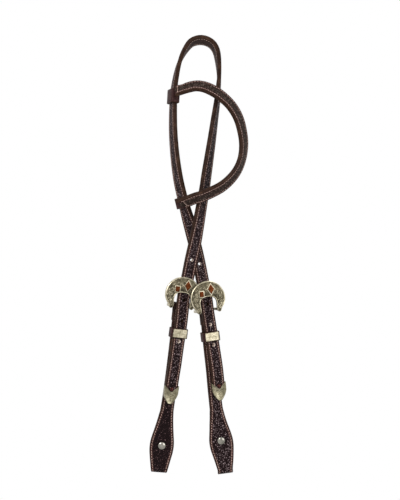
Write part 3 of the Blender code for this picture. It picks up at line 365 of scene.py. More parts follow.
crown_lift = (PLY + PLY_GAP / 2) * math.sin(math.radians(CROWN_ROLL))
crown_stations = [
    (side * LOOP_SPREAD, depth * STRAND_DEPTH, crown_lift - drop * CROWN_DROP, turn)
    for side, drop, depth, turn in
    LEFT_STRAND_SHARES + ((0.0, 0.0, 0.0, CROWN_ROLL),) + RIGHT_STRAND_SHARES]
crown_rows = strap_rows(spline(crown_stations, ROW_STEP))

# Where the strap meets a buckle, it lies on the cheek, which is folded round the buckle's bar.
BAR_RADIUS = 1.7 * MM
FIT = 0.3 * MM
CHEEK_BACK = BAR_RADIUS + FIT
CHEEK_FRONT = CHEEK_BACK + PLY
BILLET_BACK = CHEEK_FRONT + PLY_GAP
BILLET_MIDDLE = BILLET_BACK + PLY + PLY_GAP / 2
BILLET_FRONT = BILLET_BACK + 2 * PLY + PLY_GAP
CAD_STEP = 5.5 * MM


def seat_at(place, back, up):
    """A seat at a place: Y to the back, Z up and X across."""
    return Matrix.Translation(place) @ Matrix((back.cross(up), back, up)).transposed().to_4x4()


def buckle_frame(row, upward):
    """The seat on a buckle's bar: X along the bar, Y away from the viewer, Z up the strap."""
    place, along, normal = row[:3]
    return seat_at(place - normal * BILLET_MIDDLE, -normal, along * upward)


cad_rows = strap_rows(spline(crown_stations, CAD_STEP))
bars = {"left": buckle_frame(cad_rows[-1], -1.0), "right": buckle_frame(cad_rows[0], 1.0)}

CHEEK_LENGTH = 205.5 * MM
CHEEK_TURN = 15.0
TWIST_FROM_SHARE = 0.56
TWIST_TO_SHARE = 0.76
STRETCHES = {"left": 1.013, "right": 1.0}
# Shares of the cheek's length, and how far the strap has wandered sideways, in strap widths.
LEFT_CHEEK_SIDES = (
    (0.0, -0.09), (0.24, -0.02), (0.42, 0.0), (0.566, -0.013), (0.71, -0.056), (0.84, -0.075),
    (0.93, -0.056), (1.0, -0.02),
)
LEFT_BILLET_SIDES = ((0.0, 0.03), (0.10, 0.055), (0.24, 0.025), (0.35, 0.015), (0.43, -0.02),
                     (0.56, -0.05))
RIGHT_CHEEK_SIDES = (
    (0.0, 0.0), (0.104, -0.027), (0.213, -0.06), (0.357, -0.08), (0.50, -0.14), (0.61, -0.156),
    (0.69, -0.14), (0.76, -0.095), (0.83, -0.075), (0.90, -0.04), (1.0, -0.045),
)
RIGHT_BILLET_SIDES = (
    (0.0, 0.0), (0.104, 0.05), (0.213, 0.106), (0.285, 0.137), (0.357, 0.16), (0.43, 0.14),
    (0.56, 0.10),
)
BILLET_LENGTHS = {"left": 118.0 * MM, "right": 111.5 * MM}
TIP_LENGTH = 21.0 * MM
TIP_TAPER_SHARE = 0.62
TIP_NARROWING = 0.88
BILLET_CURVE = 1.6


def clamp(value, low=0.0, high=1.0):
    return min(max(value, low), high)


def smooth(share):
    return share * share * (3 - 2 * share)


def arc(middle, height, radius, first, last, steps):
    """Points round a middle from one angle to another, in half turns."""
    angles = [math.pi * (first + (last - first) * step / steps) for step in range(steps + 1)]
    return [(middle + radius * math.cos(angle), height + radius * math.sin(angle)) for angle in angles]


def eased(table, share):
    """The value at a share in a table of (share, value) rows, with no corner at a row."""
    spot = 0
    while spot < len(table) - 2 and share > table[spot + 1][0]:
        spot += 1
    (low, first), (high, second) = table[spot], table[spot + 1]
    before, after = table[max(spot - 1, 0)], table[min(spot + 2, len(table) - 1)]
    leaving = (second - before[1]) / (high - before[0]) * (high - low)
    reaching = (after[1] - first) / (after[0] - low) * (high - low)
    part = clamp((share - low) / (high - low))
    return (first + leaving * part + (3 * (second - first) - 2 * leaving - reaching) * part ** 2
            + (2 * (first - second) + leaving + reaching) * part ** 3)


def lie_of(side, sides):
    """How a strap lies below its buckle: it wanders to the side, and the bit end turns forward."""
    def lie(point):
        share = -point[2] / CHEEK_LENGTH
        turning = clamp((share - TWIST_FROM_SHARE) / (TWIST_TO_SHARE - TWIST_FROM_SHARE))
        angle = math.radians(-CHEEK_TURN) * smooth(turning)
        x, y = point[0], point[1] + CHEEK_BACK
        return bars[side] @ Vector((
            x * math.cos(angle) - y * math.sin(angle) + STRAP_WIDTH * eased(sides, share),
            x * math.sin(angle) + y * math.cos(angle) - CHEEK_BACK,
            point[2] * STRETCHES[side]))
    return lie


cheek_lies = {"left": lie_of("left", LEFT_CHEEK_SIDES), "right": lie_of("right", RIGHT_CHEEK_SIDES)}
billet_lies = {"left": lie_of("left", LEFT_BILLET_SIDES), "right": lie_of("right", RIGHT_BILLET_SIDES)}


def laid_rows(lie, path, half_width, outward=1.0):
    """Rows of a strap that lies along (depth, height) points on a cheek's curve."""
    rows = []
    for index, (depth, height) in enumerate(path):
        before, after = beside(path, index)
        step = Vector((after[0] - before[0], after[1] - before[1])).normalized() * MM
        place = lie((0.0, depth, height))
        along = (lie((0.0, depth + step.x, height + step.y)) - place).normalized()
        normal = (lie((0.0, depth - step.y * outward, height + step.x * outward)) - place).normalized()
        rows.append(row_of(place, along, normal, half_width(index, height)))
    return rows


def heights(low, high, step):
    count = max(1, round(abs(high - low) / step))
    return [low + (high - low) * number / count for number in range(count + 1)]


def billet_half(length):
    """The billet narrows to a blunt point inside its silver tip."""
    def half(_, height):
        taper = TIP_LENGTH * TIP_TAPER_SHARE
        share = clamp((taper - length - height) / taper)
        return STRAP_WIDTH / 2 * (1 - TIP_NARROWING * share ** BILLET_CURVE)
    return half


def stitches(name, rows, out, span, inset=STITCH_INSET, pitch=3.1 * MM, sides=(-1, 1)):
    """Saddle stitches along both borders of a strap, lying in their groove."""
    mesh = bmesh.new()
    marks = travelled(rows)
    for number in range(int((span[1] - span[0]) / pitch)):
        place, along, normal, side, half = row_at(rows, marks, span[0] + (number + 0.5) * pitch)
        for way in sides:
            middle = place + side * way * (half - min(inset, 0.6 * half)) + normal * out
            slant = (along + side * way * STITCH_SLANT).normalized()
            sideways = slant.cross(normal)
            rings = []
            for reach, girth in STITCH_SHAPE:
                spot = middle + slant * reach * STITCH_REACH_SHARE * pitch
                rings.append([mesh.verts.new(spot + (sideways * math.cos(turn) * STITCH_HALF + normal
                              * (math.sin(turn) * STITCH_RISE + STITCH_LIFT)) * girth)
                              for turn in (math.pi * k / 3 for k in range(6))])
            add_tube(mesh, rings, [0] * 6)
    return finish_piece(name, mesh, [thread], 80)


def carve(piece, outline, lie, low, high, wall=RAW):
    """Cut through a piece along Y with a closed (x, z) outline that lies where its place puts it."""
    mesh = bmesh.new()
    add_tube(mesh, [add_ring(mesh, lie, outline, depth) for depth in (low, high)], [0] * len(outline))
    tool = finish_piece("tool", mesh, piece.data.materials, 30)
    for face in tool.data.polygons:
        face.material_index = min(wall, len(piece.data.materials) - 1)
    change = piece.modifiers.new("cut", "BOOLEAN")
    change.object = tool
    change.solver = "EXACT"
    bpy.context.view_layer.update()
    graph = bpy.context.evaluated_depsgraph_get()
    data = bpy.data.meshes.new_from_object(piece.evaluated_get(graph), depsgraph=graph)
    piece.modifiers.clear()
    piece.data = data
    bpy.data.objects.remove(tool, do_unlink=True)
    piece.data.set_sharp_from_angle(angle=math.radians(40))


def circle(radius, sides):
    return [(radius * math.cos(2 * math.pi * k / sides), radius * math.sin(2 * math.pi * k / sides))
            for k in range(sides)]


thread = clouded("waxed_thread", 0.6, 0.0, 700.0, 2.0, ((0.3, (0.34, 0.20, 0.15)), (0.7, (0.62, 0.45, 0.37))))

HOLE_PITCH = 25.4 * MM
HOLE_RADIUS = 2.4 * MM
PUNCH_REACH = 5.0 * MM
# A hole's girth at its front and what it has lost at its back, by and below the buckle or above it.
PUNCHES = {"low": (1.2, 1.1), "high": (0.92, 0.3)}
SEWN_UNDER_TIP = {"left": 4.0 * MM, "right": 5.0 * MM}
POINT_CLEARANCE = 1.0 * MM
BLEND_REACH = 7.0 * MM
TONGUE_REACH = 33.0 * MM
EAR_UPPER_LOOP_SHARE = 0.203
strap_back, strap_front = -(PLY + PLY_GAP / 2), PLY + PLY_GAP / 2
split_height = crown_lift - EAR_UPPER_LOOP_SHARE * CROWN_DROP
split = min(range(len(crown_rows) // 2), key=lambda index: abs(crown_rows[index][0].z - split_height))
for side in ("left", "right"):
    lie = billet_lies[side]
    length = BILLET_LENGTHS[side]
    billet = [(-BILLET_MIDDLE, z) for z in heights(0.0, -length + POINT_CLEARANCE, ROW_STEP)]
    if side == "left":
        upward = -1.0
        rows = crown_rows[split:] + laid_rows(lie, billet, billet_half(length), upward)[1:]
        start = travelled(crown_rows)[split]
        to_bar = travelled(crown_rows)[-1] - start
        span = (0.0, to_bar + length - TIP_LENGTH + SEWN_UNDER_TIP[side])
    else:
        upward = 1.0
        rows = laid_rows(lie, billet[::-1], billet_half(length))[:-1] + crown_rows[:split + 1]
        to_bar = travelled(rows)[len(billet) - 1]
        start = -to_bar
        span = (TIP_LENGTH - SEWN_UNDER_TIP[side], travelled(rows)[-1])
    marks = travelled(rows)
    piece = strap(side + "_crown_strap", rows, strap_back, strap_front, leathers, start)
    for number in (-1, 0, 1, -2, -3):
        above = TONGUE_REACH + number * HOLE_PITCH
        place, along, normal = row_at(rows, marks, to_bar + above * upward)[:3]
        centre = seat_at(place, -normal, along * upward)
        front, fall = PUNCHES["low" if number < 0 else "high"]
        # Painted shade: the hole just above the bar, under the crescent, gets the dark edge finish on its wall
        # instead of pale raw leather. The left strap's first hole below the bar is darkened the same way.
        wall = DARK if number == -1 or (number == -2 and side == "left") else RAW

        def cone(spot):
            girth = front - fall * (spot.y + PUNCH_REACH) / (2 * PUNCH_REACH)
            return centre @ Vector((spot.x * girth, spot.y, spot.z * girth))
        carve(piece, circle(HOLE_RADIUS, 20), cone, -PUNCH_REACH, PUNCH_REACH, wall)
    sewing = stitches(side + "_crown_stitches", rows, strap_front - GROOVE, span)
    back_sewing = stitches(side + "_crown_back_stitches", turned_over(rows), strap_front - GROOVE, span)
    for made in (piece, sewing, back_sewing):
        above, below = (bars[side] @ Vector((0.0, -BILLET_MIDDLE, reach))
                        for reach in (BLEND_REACH, -BLEND_REACH))
        tuple(above)
        tuple(below)
        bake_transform(made)
    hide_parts("crown_face", "crown_lining", side + "_billet_face", side + "_billet_lining")

# Ear piece.
# A second stitched strap that stands out round one ear. Its ends are sewn into the two leather
# loops by which it slides on the crown strap.
EAR_REACH = 52.5 * MM
EAR_END_SEAMS = (3.5 * MM, 8.0 * MM)
EAR_SEAM_HALF = 5.6 * MM
EAR_UNSEWN = 2.0 * MM
EAR_STANDOFF = 18.6 * MM
EAR_SHARES = (
    (-0.600, 0.197, -0.63, 34.0), (-0.440, 0.192, -0.70, 46.0), (-0.315, 0.186, -0.81, 41.0),
    (-0.118, 0.181, -0.95, 40.0),
    (0.071, 0.185, -1.0, 38.0), (0.259, 0.198, -1.05, 37.0), (0.447, 0.217, -1.05, 39.0),
    (0.642, 0.244, -1.0, 43.0), (0.785, 0.274, -0.96, 46.0), (0.885, 0.307, -0.93, 50.0),
    (0.950, 0.345, -0.90, 54.0), (0.987, 0.386, -0.90, 58.0), (0.978, 0.424, -0.90, 62.0),
    (0.931, 0.459, -0.90, 63.0), (0.834, 0.494, -0.92, 60.0), (0.684, 0.525, -0.96, 56.0),
    (0.490, 0.552, -1.0, 52.0), (0.275, 0.571, -1.05, 49.0), (0.047, 0.587, -1.10, 48.0),
    (-0.141, 0.596, -1.04, 47.0), (-0.390, 0.610, -0.80, 50.0),
    (-0.500, 0.616, -0.66, 52.0),
)
ear_stations = [(side * EAR_REACH, depth * EAR_STANDOFF, crown_lift - drop * CROWN_DROP, turn)
                for side, drop, depth, turn in EAR_SHARES]
ear_rows = strap_rows(spline(ear_stations, ROW_STEP))
ear_strap = strap("ear_strap", ear_rows, strap_back, strap_front, (ear_face, *leathers[1:]))
ear_marks = travelled(ear_rows)
ear_span = (EAR_UNSEWN, ear_marks[-1] - EAR_UNSEWN)
ear_stitches = stitches("ear_stitches", ear_rows, strap_front - GROOVE, ear_span)
ear_back_stitches = stitches("ear_back_stitches", turned_over(ear_rows), strap_front - GROOVE, ear_span)
crossings = []
for number, mark in enumerate((EAR_END_SEAMS[0], ear_marks[-1] - EAR_END_SEAMS[1])):
    place, along, normal, across, _ = row_at(ear_rows, ear_marks, mark)
    crossings.append(stitches(f"ear_end_stitches_{number}", [
        (place + across * reach, across, normal, -along, 0.0)
        for reach in (-EAR_SEAM_HALF, 0.0, EAR_SEAM_HALF)],
        strap_front, (0.0, 2 * EAR_SEAM_HALF), sides=(1,), pitch=2.8 * MM))
for made in (ear_strap, ear_stitches, ear_back_stitches, *crossings):
    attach(made, "ear")
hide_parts("ear_face", "ear_lining")

EAR_LOOP_WALL = 1.6 * MM
EAR_LOOP_CLEARANCE = 1.2 * MM
EAR_LOWER_LOOP_SHARE = 0.605


def round_cornered(half_x, half_z, radius, steps):
    """Points round an outline whose corners are turned to a radius, from the corners' middles."""
    return [(way_x * half_x + radius * math.cos(math.radians(first + 90 * step / steps)),
             way_z * half_z + radius * math.sin(math.radians(first + 90 * step / steps)))
            for way_x, way_z, first in ((1, 1, 0), (-1, 1, 90), (-1, -1, 180), (1, -1, 270))
            for step in range(steps + 1)]


def leather_loop(name, seat, width, depth, wall, height):
    """A flat band of leather wrapped round a strap, with its edges rounded."""
    mesh = bmesh.new()
    places = mesh.loops.layers.uv.new("strap")
    round_by = 0.9 * MM
    outline = list(zip(round_cornered(width / 2 - round_by, depth / 2 - round_by, 0.0, 4),
                       round_cornered(0.0, 0.0, 1.0, 4)))
    turn = 0.45 * wall
    half = height / 2
    low = [(0.0, -half + turn), (turn * 0.3, -half + turn * 0.3), (turn, -half), (wall - turn, -half),
           (wall - turn * 0.3, -half + turn * 0.3), (wall, -half + turn), (wall, -half + 2.2 * MM)]
    section = low + [(wall, 0.0)] + [(out, -up) for out, up in low[::-1]]
    kinds = [EDGE] * 5 + [BORDER] * 4 + [EDGE] * 5 + [BACK]
    rings, mark = [], 0.0
    for number, ((x, y), (out_x, out_y)) in enumerate(outline):
        if number:
            mark += math.dist(outline[number - 1][0], (x, y)) + round_by * 0.39
        rings.append(([mesh.verts.new(seat @ Vector((x + out_x * (round_by + out), y + out_y * (round_by + out),
                                                     up))) for out, up in section], mark))
    ups = [up for _, up in section]
    for (first, one), (second, two) in zip(rings, rings[1:] + rings[:1]):
        add_leather_band(mesh, places, first, second, (ups, ups), (one, two), kinds)
    return finish_piece(name, mesh, leathers, 40)


left_strand = cad_rows[:len(cad_rows) // 2]
for name, share, height in (("ear_upper_loop", EAR_UPPER_LOOP_SHARE, 17.5 * MM),
                            ("ear_lower_loop", EAR_LOWER_LOOP_SHARE, 13.5 * MM)):
    level = crown_lift - share * CROWN_DROP
    row = min(left_strand, key=lambda candidate: abs(candidate[0].z - level))
    place, along, normal = row[:3]
    seat = seat_at(place, -normal, along)
    loop = leather_loop(name + "_leather", seat, STRAP_WIDTH + 2 * EAR_LOOP_CLEARANCE,
                        2 * PLY + PLY_GAP + 2 * EAR_LOOP_CLEARANCE, EAR_LOOP_WALL, height)
    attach(loop, "ear")
    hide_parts(name)

# Cheek straps.
# Each is folded over its buckle's bar and sewn down behind it, lined, and widened at the bottom,
# where it is folded round the bit and held by a screw.
BIT_END_WIDTH = 29.7 * MM
BIT_FOLD_GAP = 8.0 * MM
BIT_TAB_OVER = 10.0 * MM
SCREW_RISES = {"left": 34.0 * MM, "right": 42.5 * MM}
SCREW_HEAD_RADIUS = 4.4 * MM
BARREL_RADIUS = 2.6 * MM
TONGUE_SLOT = 5.2 * MM
TONGUE_WALL = 1.5 * MM
OVERRUN = 1.0 * MM
TURN_BACK_LENGTH = 18.0 * MM
LINING_TOP = -8.0 * MM
FOLD_UNSEWN = 4.0 * MM
BAR_UNSEWN = 3.0 * MM
LINING_UNSEWN = 14.0 * MM
SEAMS_OVERLAP = 6.0 * MM
LINING_END = -CHEEK_LENGTH + 20.0 * MM
LINING_MIDDLE = -(CHEEK_BACK - PLY_GAP) + PLY / 2
BACK_PLY_MIDDLE = LINING_MIDDLE + PLY + PLY_GAP
FRONT_PLY_MIDDLE = -(CHEEK_BACK + PLY / 2)
FOLD_RADIUS = (BIT_FOLD_GAP + PLY) / 2
# Shares of the cheek's length, and of its widening there.
SPADE_SHARES = (
    (0.0, 0.0), (0.56, 0.0), (0.65, 0.12), (0.723, 0.46), (0.795, 0.88), (0.83, 1.0), (0.867, 0.96),
    (0.90, 0.80), (0.94, 0.58), (0.976, 0.37), (1.0, 0.23),
)
spade_curve = spline([(share, swell, 0.0, 0.0) for share, swell in SPADE_SHARES], 0.01)


SWELL_LIFTS = {"left": 0.0, "right": 0.03}


def cheek_half(height, lift):
    """Half the cheek's width: straight from the buckle, then swelling and drawn in to the fold."""
    share = clamp(-height / CHEEK_LENGTH + lift)
    swell = SPADE_SHARES[-1][1]
    for low, high in zip(spade_curve, spade_curve[1:]):
        if share <= high.x:
            swell = max(low.y + (high.y - low.y) * (share - low.x) / (high.x - low.x), 0.0)
            break
    return (STRAP_WIDTH + (BIT_END_WIDTH - STRAP_WIDTH) * swell) / 2


def cheek_path(rise):
    """From the tab's end down round the bit fold, up the front, over the bar and down the back."""
    bottom = -CHEEK_LENGTH + FOLD_RADIUS + PLY / 2
    fold_middle = FRONT_PLY_MIDDLE + FOLD_RADIUS
    tab_bend = -CHEEK_LENGTH + rise - SCREW_HEAD_RADIUS - OVERRUN
    tab_top = -CHEEK_LENGTH + rise + BIT_TAB_OVER
    path = [(BACK_PLY_MIDDLE, z) for z in heights(tab_top, tab_bend, ROW_STEP)]
    for share in (step / 12 for step in range(1, 12)):
        path.append((BACK_PLY_MIDDLE + (fold_middle + FOLD_RADIUS - BACK_PLY_MIDDLE) * smooth(share),
                     tab_bend + (bottom - tab_bend) * share))
    path += arc(fold_middle, bottom, FOLD_RADIUS, 0.0, -1.0, 16)
    path += [(FRONT_PLY_MIDDLE, z) for z in heights(bottom, 0.0, ROW_STEP)[1:-1]]
    path += arc(0.0, 0.0, -FRONT_PLY_MIDDLE, 1.0, 0.0, 12)
    for share in (step / 4 for step in range(1, 5)):
        path.append((-FRONT_PLY_MIDDLE + (FRONT_PLY_MIDDLE + BACK_PLY_MIDDLE) * share, LINING_TOP * share))
    return path + [(BACK_PLY_MIDDLE, z) for z in heights(LINING_TOP, -TURN_BACK_LENGTH, ROW_STEP)[1:]]


def cheek_face_half(lift, fold):
    """The tab behind is a plain strap at its end and as wide as the fold at the bottom."""
    def half(index, height):
        full = cheek_half(height, lift)
        return STRAP_WIDTH / 2 + (full - STRAP_WIDTH / 2) * min(index / fold, 1.0) ** 4
    return half


def screw_seat(side):
    """Where the screw passes through the bit end, with Y along the screw to the back."""
    lie = cheek_lies[side]
    height = SCREW_RISES[side] - CHEEK_LENGTH
    middle = lie((0.0, 0.0, height))
    depth = (middle - lie((0.0, -PLY, height))).normalized()
    up = bars[side].to_3x3() @ Vector((0, 0, 1))
    return seat_at(middle, depth, up)


for side in ("left", "right"):
    lie = cheek_lies[side]
    cheek_way = cheek_path(SCREW_RISES[side])
    fold = cheek_way.index(min(cheek_way, key=lambda point: point[1]))
    rows = laid_rows(lie, cheek_way, cheek_face_half(SWELL_LIFTS[side], fold))
    marks = travelled(rows)
    thick = PLY / 2
    finishes = (quiet_face, *leathers[1:]) if side == "left" else leathers
    cheek = strap(side + "_cheek_strap", rows, -thick, thick, finishes, seam=False, grooved=(True, False))
    corner, ring = CHEEK_FRONT + OVERRUN, BAR_RADIUS + FIT + TONGUE_WALL + 2 * FIT
    profile = ((-corner, -ring), (FIT, -ring), (FIT, LINING_TOP - 2 * FIT), (corner, LINING_TOP - 2 * FIT),
               (corner, corner), (-corner, corner))
    carve(cheek, profile, lambda spot: bars[side] @ Vector((spot.y, spot.x, spot.z)), -TONGUE_SLOT / 2,
          TONGUE_SLOT / 2)
    lining_rows = laid_rows(lie, [(LINING_MIDDLE, z) for z in heights(LINING_TOP, LINING_END, ROW_STEP)],
                            lambda _, z: cheek_half(z, SWELL_LIFTS[side]))
    seat = screw_seat(side)
    lining = strap(side + "_cheek_back", lining_rows, -thick, thick, (smooth_lining,) * 6, seam=False)
    for made in (cheek, lining):
        carve(made, circle(BARREL_RADIUS + FIT, 24), lambda spot: seat @ spot, -CHEEK_FRONT - 2 * PLY,
              CHEEK_FRONT + 2 * PLY)
    bar_mark = marks[next(n for n, (depth, height) in enumerate(cheek_way) if n > fold and height >= 0.0)]
    sewing = stitches(side + "_cheek_stitches", rows, thick - GROOVE,
                      (marks[fold] + FOLD_UNSEWN, bar_mark - BAR_UNSEWN))
    back = stitches(side + "_cheek_back_stitches", lining_rows, thick - GROOVE,
                    (TURN_BACK_LENGTH - SEAMS_OVERLAP, travelled(lining_rows)[-1] - LINING_UNSEWN))
    for made in (cheek, lining, sewing, back):
        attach(made, side + "_cheek")
    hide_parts(side + "_cheek_face")
    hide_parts(side + "_cheek_lining")

# Crescent buckles.
# Each is a cast plate of engraved silver, with raised rims and scrolls on a darkened field, and
# two posts behind its horns. The steel bar between the posts carries the cheek and the tongue.
BUCKLE_WIDTH = 45.0 * MM
BUCKLE_RISE = 36.5 * MM
BUCKLE_THROAT = 17.0 * MM
HORN_WIDTH = 7.5 * MM
HORN_DROP = 3.0 * MM
HORN_ANGLE = math.radians(43.0)
HORN_ROOT_SHARE = 0.87
HORN_LOW_SHARE = 0.4
HORN_THINNING = 0.3
DOME_POWER = 2.18
EDGE_HEIGHT = 0.9
POST_SUNK_SHARE = 0.6
CRESCENT_SHOULDER = 15.0 * MM
THROAT_POWER = 0.67
THROAT_FLARE = 0.15
CRESCENT_STEPS = 72
HORN_STEPS = 8
PLATE_RIM = 1.6 * MM
PLATE_DOME = 1.3 * MM
STANDOFFS = {"left": 1.3 * MM, "right": 5.9 * MM}
SLID = {"left": -2.9 * MM, "right": -0.6 * MM}
POST_WIDTH = 2.8 * MM
POST_ROUND = 0.6 * MM
POST_CHAMFER = 0.4 * MM
# Places inwards from the crescent's edge, and the rim's height there, in mm.
RIM_SHAPE = ((0.22, -0.10), (0.55, 0.22), (0.9, 0.34), (1.25, 0.22), (1.5, -0.12))
RIM_INSIDE = 1.7
RIMS_INSIDE = 3.1
INNER_RIM_SHARE = 0.82
FIELD_DIP = -0.24 * MM
FIELD_STEPS = 8
ENGRAVED_HALF = 4.3 * MM
BRIGHT, FIELD, OLIVE = range(3)


def silver(name, tones, roughness, stipple, depth):
    """Worn silver: warm and pale where it is rubbed, olive grey where it is cut away and darkened."""
    finish, shader = new_finish(name, 0.3, 1.0)
    where = add_node(finish, "TexCoord").outputs["Object"]
    cloud = noise(finish, 260.0, 6.0, Roughness=0.65)
    marks = add_node(finish, "TexVoronoi", None, Vector=where, Scale=stipple).outputs["Distance"]
    gloss = add_node(finish, "MapRange", None, Value=cloud, **dict(zip(("To Min", "To Max"), roughness)))
    link(finish, gloss.outputs["Result"], shader.inputs["Roughness"])
    colour = ramp(finish, cloud, list(zip((0.34, 0.52, 0.70), tones)))
    return coat(finish, shader, colour, marks, depth, 0.12 * MM)


bright_silver = silver("bright_silver", (
    (0.25, 0.222, 0.152), (0.45, 0.405, 0.29), (0.68, 0.62, 0.485)), (0.20, 0.40), 900.0, 0.12)
darkened_field = silver("darkened_field", (
    (0.032, 0.027, 0.017), (0.090, 0.078, 0.050), (0.21, 0.182, 0.120)), (0.34, 0.6), 1500.0, 0.7)
olive_silver = silver("olive_silver", (
    (0.125, 0.113, 0.070), (0.24, 0.217, 0.145), (0.39, 0.36, 0.262)), (0.26, 0.46), 1100.0, 0.25)
silvers = (bright_silver, darkened_field, olive_silver)


def crescent_pairs():
    """Pairs of an outer and an inner point, from one horn's tip over the top to the other's."""
    low = HORN_DROP * HORN_LOW_SHARE
    down_reach = (CRESCENT_SHOULDER - low) / math.sin(HORN_ANGLE)
    end = BUCKLE_WIDTH / 2 * math.cos(HORN_ANGLE)
    inner_end = end - HORN_WIDTH * HORN_ROOT_SHARE
    pairs = []
    for step in range(1, HORN_STEPS):
        angle = math.pi / 2 * (1 - step / HORN_STEPS)
        middle, reach = (end + inner_end) / 2, (end - inner_end) / 2 * math.cos(angle)
        drop = low - (low + HORN_DROP) * math.sin(angle)
        pairs.append((Vector((middle + reach, 0, drop)), Vector((middle - reach, 0, drop))))
    for step in range(CRESCENT_STEPS + 1):
        share = step / CRESCENT_STEPS
        angle = -HORN_ANGLE + (math.pi + 2 * HORN_ANGLE) * share
        rise = BUCKLE_RISE - CRESCENT_SHOULDER if 0 < angle < math.pi else down_reach
        across, up = math.cos(math.pi * share), max(math.sin(math.pi * share), 0.0)
        reach = inner_end * (1 + THROAT_FLARE * abs(2 * across * up))
        outer = BUCKLE_WIDTH / 2 * math.cos(angle), CRESCENT_SHOULDER + rise * math.sin(angle)
        inner = (math.copysign(reach * abs(across) ** THROAT_POWER, across),
                 low + (BUCKLE_THROAT - low) * up ** THROAT_POWER)
        pairs.append(tuple(Vector((x, 0, z)) for x, z in (outer, inner)))
    return pairs + [(Vector((-a.x, 0, a.z)), Vector((-b.x, 0, b.z))) for a, b in pairs[:HORN_STEPS - 1]][::-1]


pairs = crescent_pairs()
pair_marks = [0.0]
for (a, b), (c, d) in zip(pairs, pairs[1:]):
    pair_marks.append(pair_marks[-1] + ((c + d) / 2 - (a + b) / 2).length)


def plate_height(share, width):
    """Height of the plate's front over its back, without its rims."""
    full = min(1.0, width / HORN_WIDTH)
    rim = PLATE_RIM * (1 - HORN_THINNING * (1 - full))
    return rim + PLATE_DOME * full * (1 - abs(2 * share - 1) ** DOME_POWER)


def plate_spot(along, off):
    """A point on the field, along the crescent from its top and outwards from its middle."""
    mark = clamp(pair_marks[-1] / 2 - along, 0.0, pair_marks[-1] - 1e-9)
    index = next(n for n in range(len(pairs) - 1) if pair_marks[n + 1] > mark)
    share = (mark - pair_marks[index]) / (pair_marks[index + 1] - pair_marks[index])
    outer, inner = (pairs[index][k].lerp(pairs[index + 1][k], share) for k in (0, 1))
    width = (outer - inner).length
    room = clamp((width / 2 - PLATE_RIM) / ENGRAVED_HALF)
    across = 0.5 - off * room / width
    spot = outer.lerp(inner, across)
    return Vector((spot.x, -plate_height(across, width) - FIELD_DIP, spot.z))


def bead(mesh, spots, outs, half_width, height, kind=BRIGHT):
    """A raised line through the spots, drawn to a point at both ends."""
    rings = []
    for index, spot in enumerate(spots):
        before, after = beside(spots, index)
        girth = 0.25 + 0.75 * math.sin(math.pi * clamp(index / (len(spots) - 1), 0.04, 0.96)) ** 0.6
        sideways = (after - before).normalized().cross(outs[index]) * half_width * girth
        forward = outs[index] * height * girth
        rings.append([mesh.verts.new(spot + sideways * x + forward * y)
                      for x, y in ((-1.0, -0.5), (-0.75, 0.6), (0.0, 1.0), (0.75, 0.6), (1.0, -0.5))])
    add_tube(mesh, rings, [kind] * 5, kind)


def curl(middle, start, size, way, turns=1.35, count=22):
    """A spiral that winds in from its start angle."""
    spots = []
    for k in range(count + 1):
        angle, reach = start + way * 2 * math.pi * turns * k / count, size * (1 - 0.82 * k / count)
        spots.append((middle[0] + reach * math.cos(angle), middle[1] + reach * math.sin(angle)))
    return spots


def flat_bead(mesh, line, lie, half_width, height, kind=BRIGHT):
    """A raised line drawn in mm on a face that looks along -Y, laid where its place puts it."""
    flat = [Vector((x, 0.0, z)) * MM for x, z in line]
    spots = [lie(spot) for spot in flat]
    outs = [(lie(spot - Vector((0.0, MM, 0.0))) - lie(spot)).normalized() for spot in flat]
    bead(mesh, spots, outs, half_width, height, kind)


# Each overlay's name, its place across and up the plate, and its outline, in mm.
COPPERS = (("lozenge", 4.6, 25.8, ((4.25, 0.0), (0.0, 6.5), (-4.25, 0.0), (0.0, -6.5))),
           ("square", -8.0, 20.9, ((2.7, -3.4), (2.7, 3.4), (-2.7, 3.4), (-2.7, -3.4))))
COPPER_BEZEL = [(grow, lift, BRIGHT) for grow, lift in ((0.7, -1.2), (0.7, 0.15), (0.45, 0.3), (0.2, 0.3))]
COPPER_FACE = ((0.0, 0.1, 0), (0.0, 0.55, 0), (-0.25, 0.85, 0), (-1.0, 0.9, 0))
SCROLL_WAVE = 12.5
VINE_SWING = 1.9
SCROLL_HALF = 0.34 * MM
copper = clouded("aged_copper", 0.38, 1.0, 420.0, 5.0, (
    (0.3, (0.038, 0.0105, 0.004)), (0.55, (0.080, 0.021, 0.006)), (0.75, (0.145, 0.045, 0.0135))), 0.4)


def stepped(mesh, lie, outline, steps):
    """A flat figure in mm whose outline steps in or out by grow and forward by lift."""
    rings = []
    for grow, lift, _ in steps:
        ring = []
        for number, (x, z) in enumerate(outline):
            spot, after = Vector((x, z)), Vector(outline[(number + 1) % len(outline)])
            first, second = (spot - Vector(outline[number - 1])).normalized(), (after - spot).normalized()
            outward = Vector((first.y + second.y, -first.x - second.x))
            spot += outward * 2 * grow / outward.length_squared
            ring.append(mesh.verts.new(lie(Vector((spot.x, -lift, spot.y)) * MM)))
        rings.append(ring)
    for first, second, step in zip(rings, rings[1:], steps):
        add_ring_faces(mesh, first, second, [step[2]] * len(outline))
    mesh.faces.new(rings[0]).material_index = steps[0][2]
    mesh.faces.new(rings[-1]).material_index = steps[-1][2]


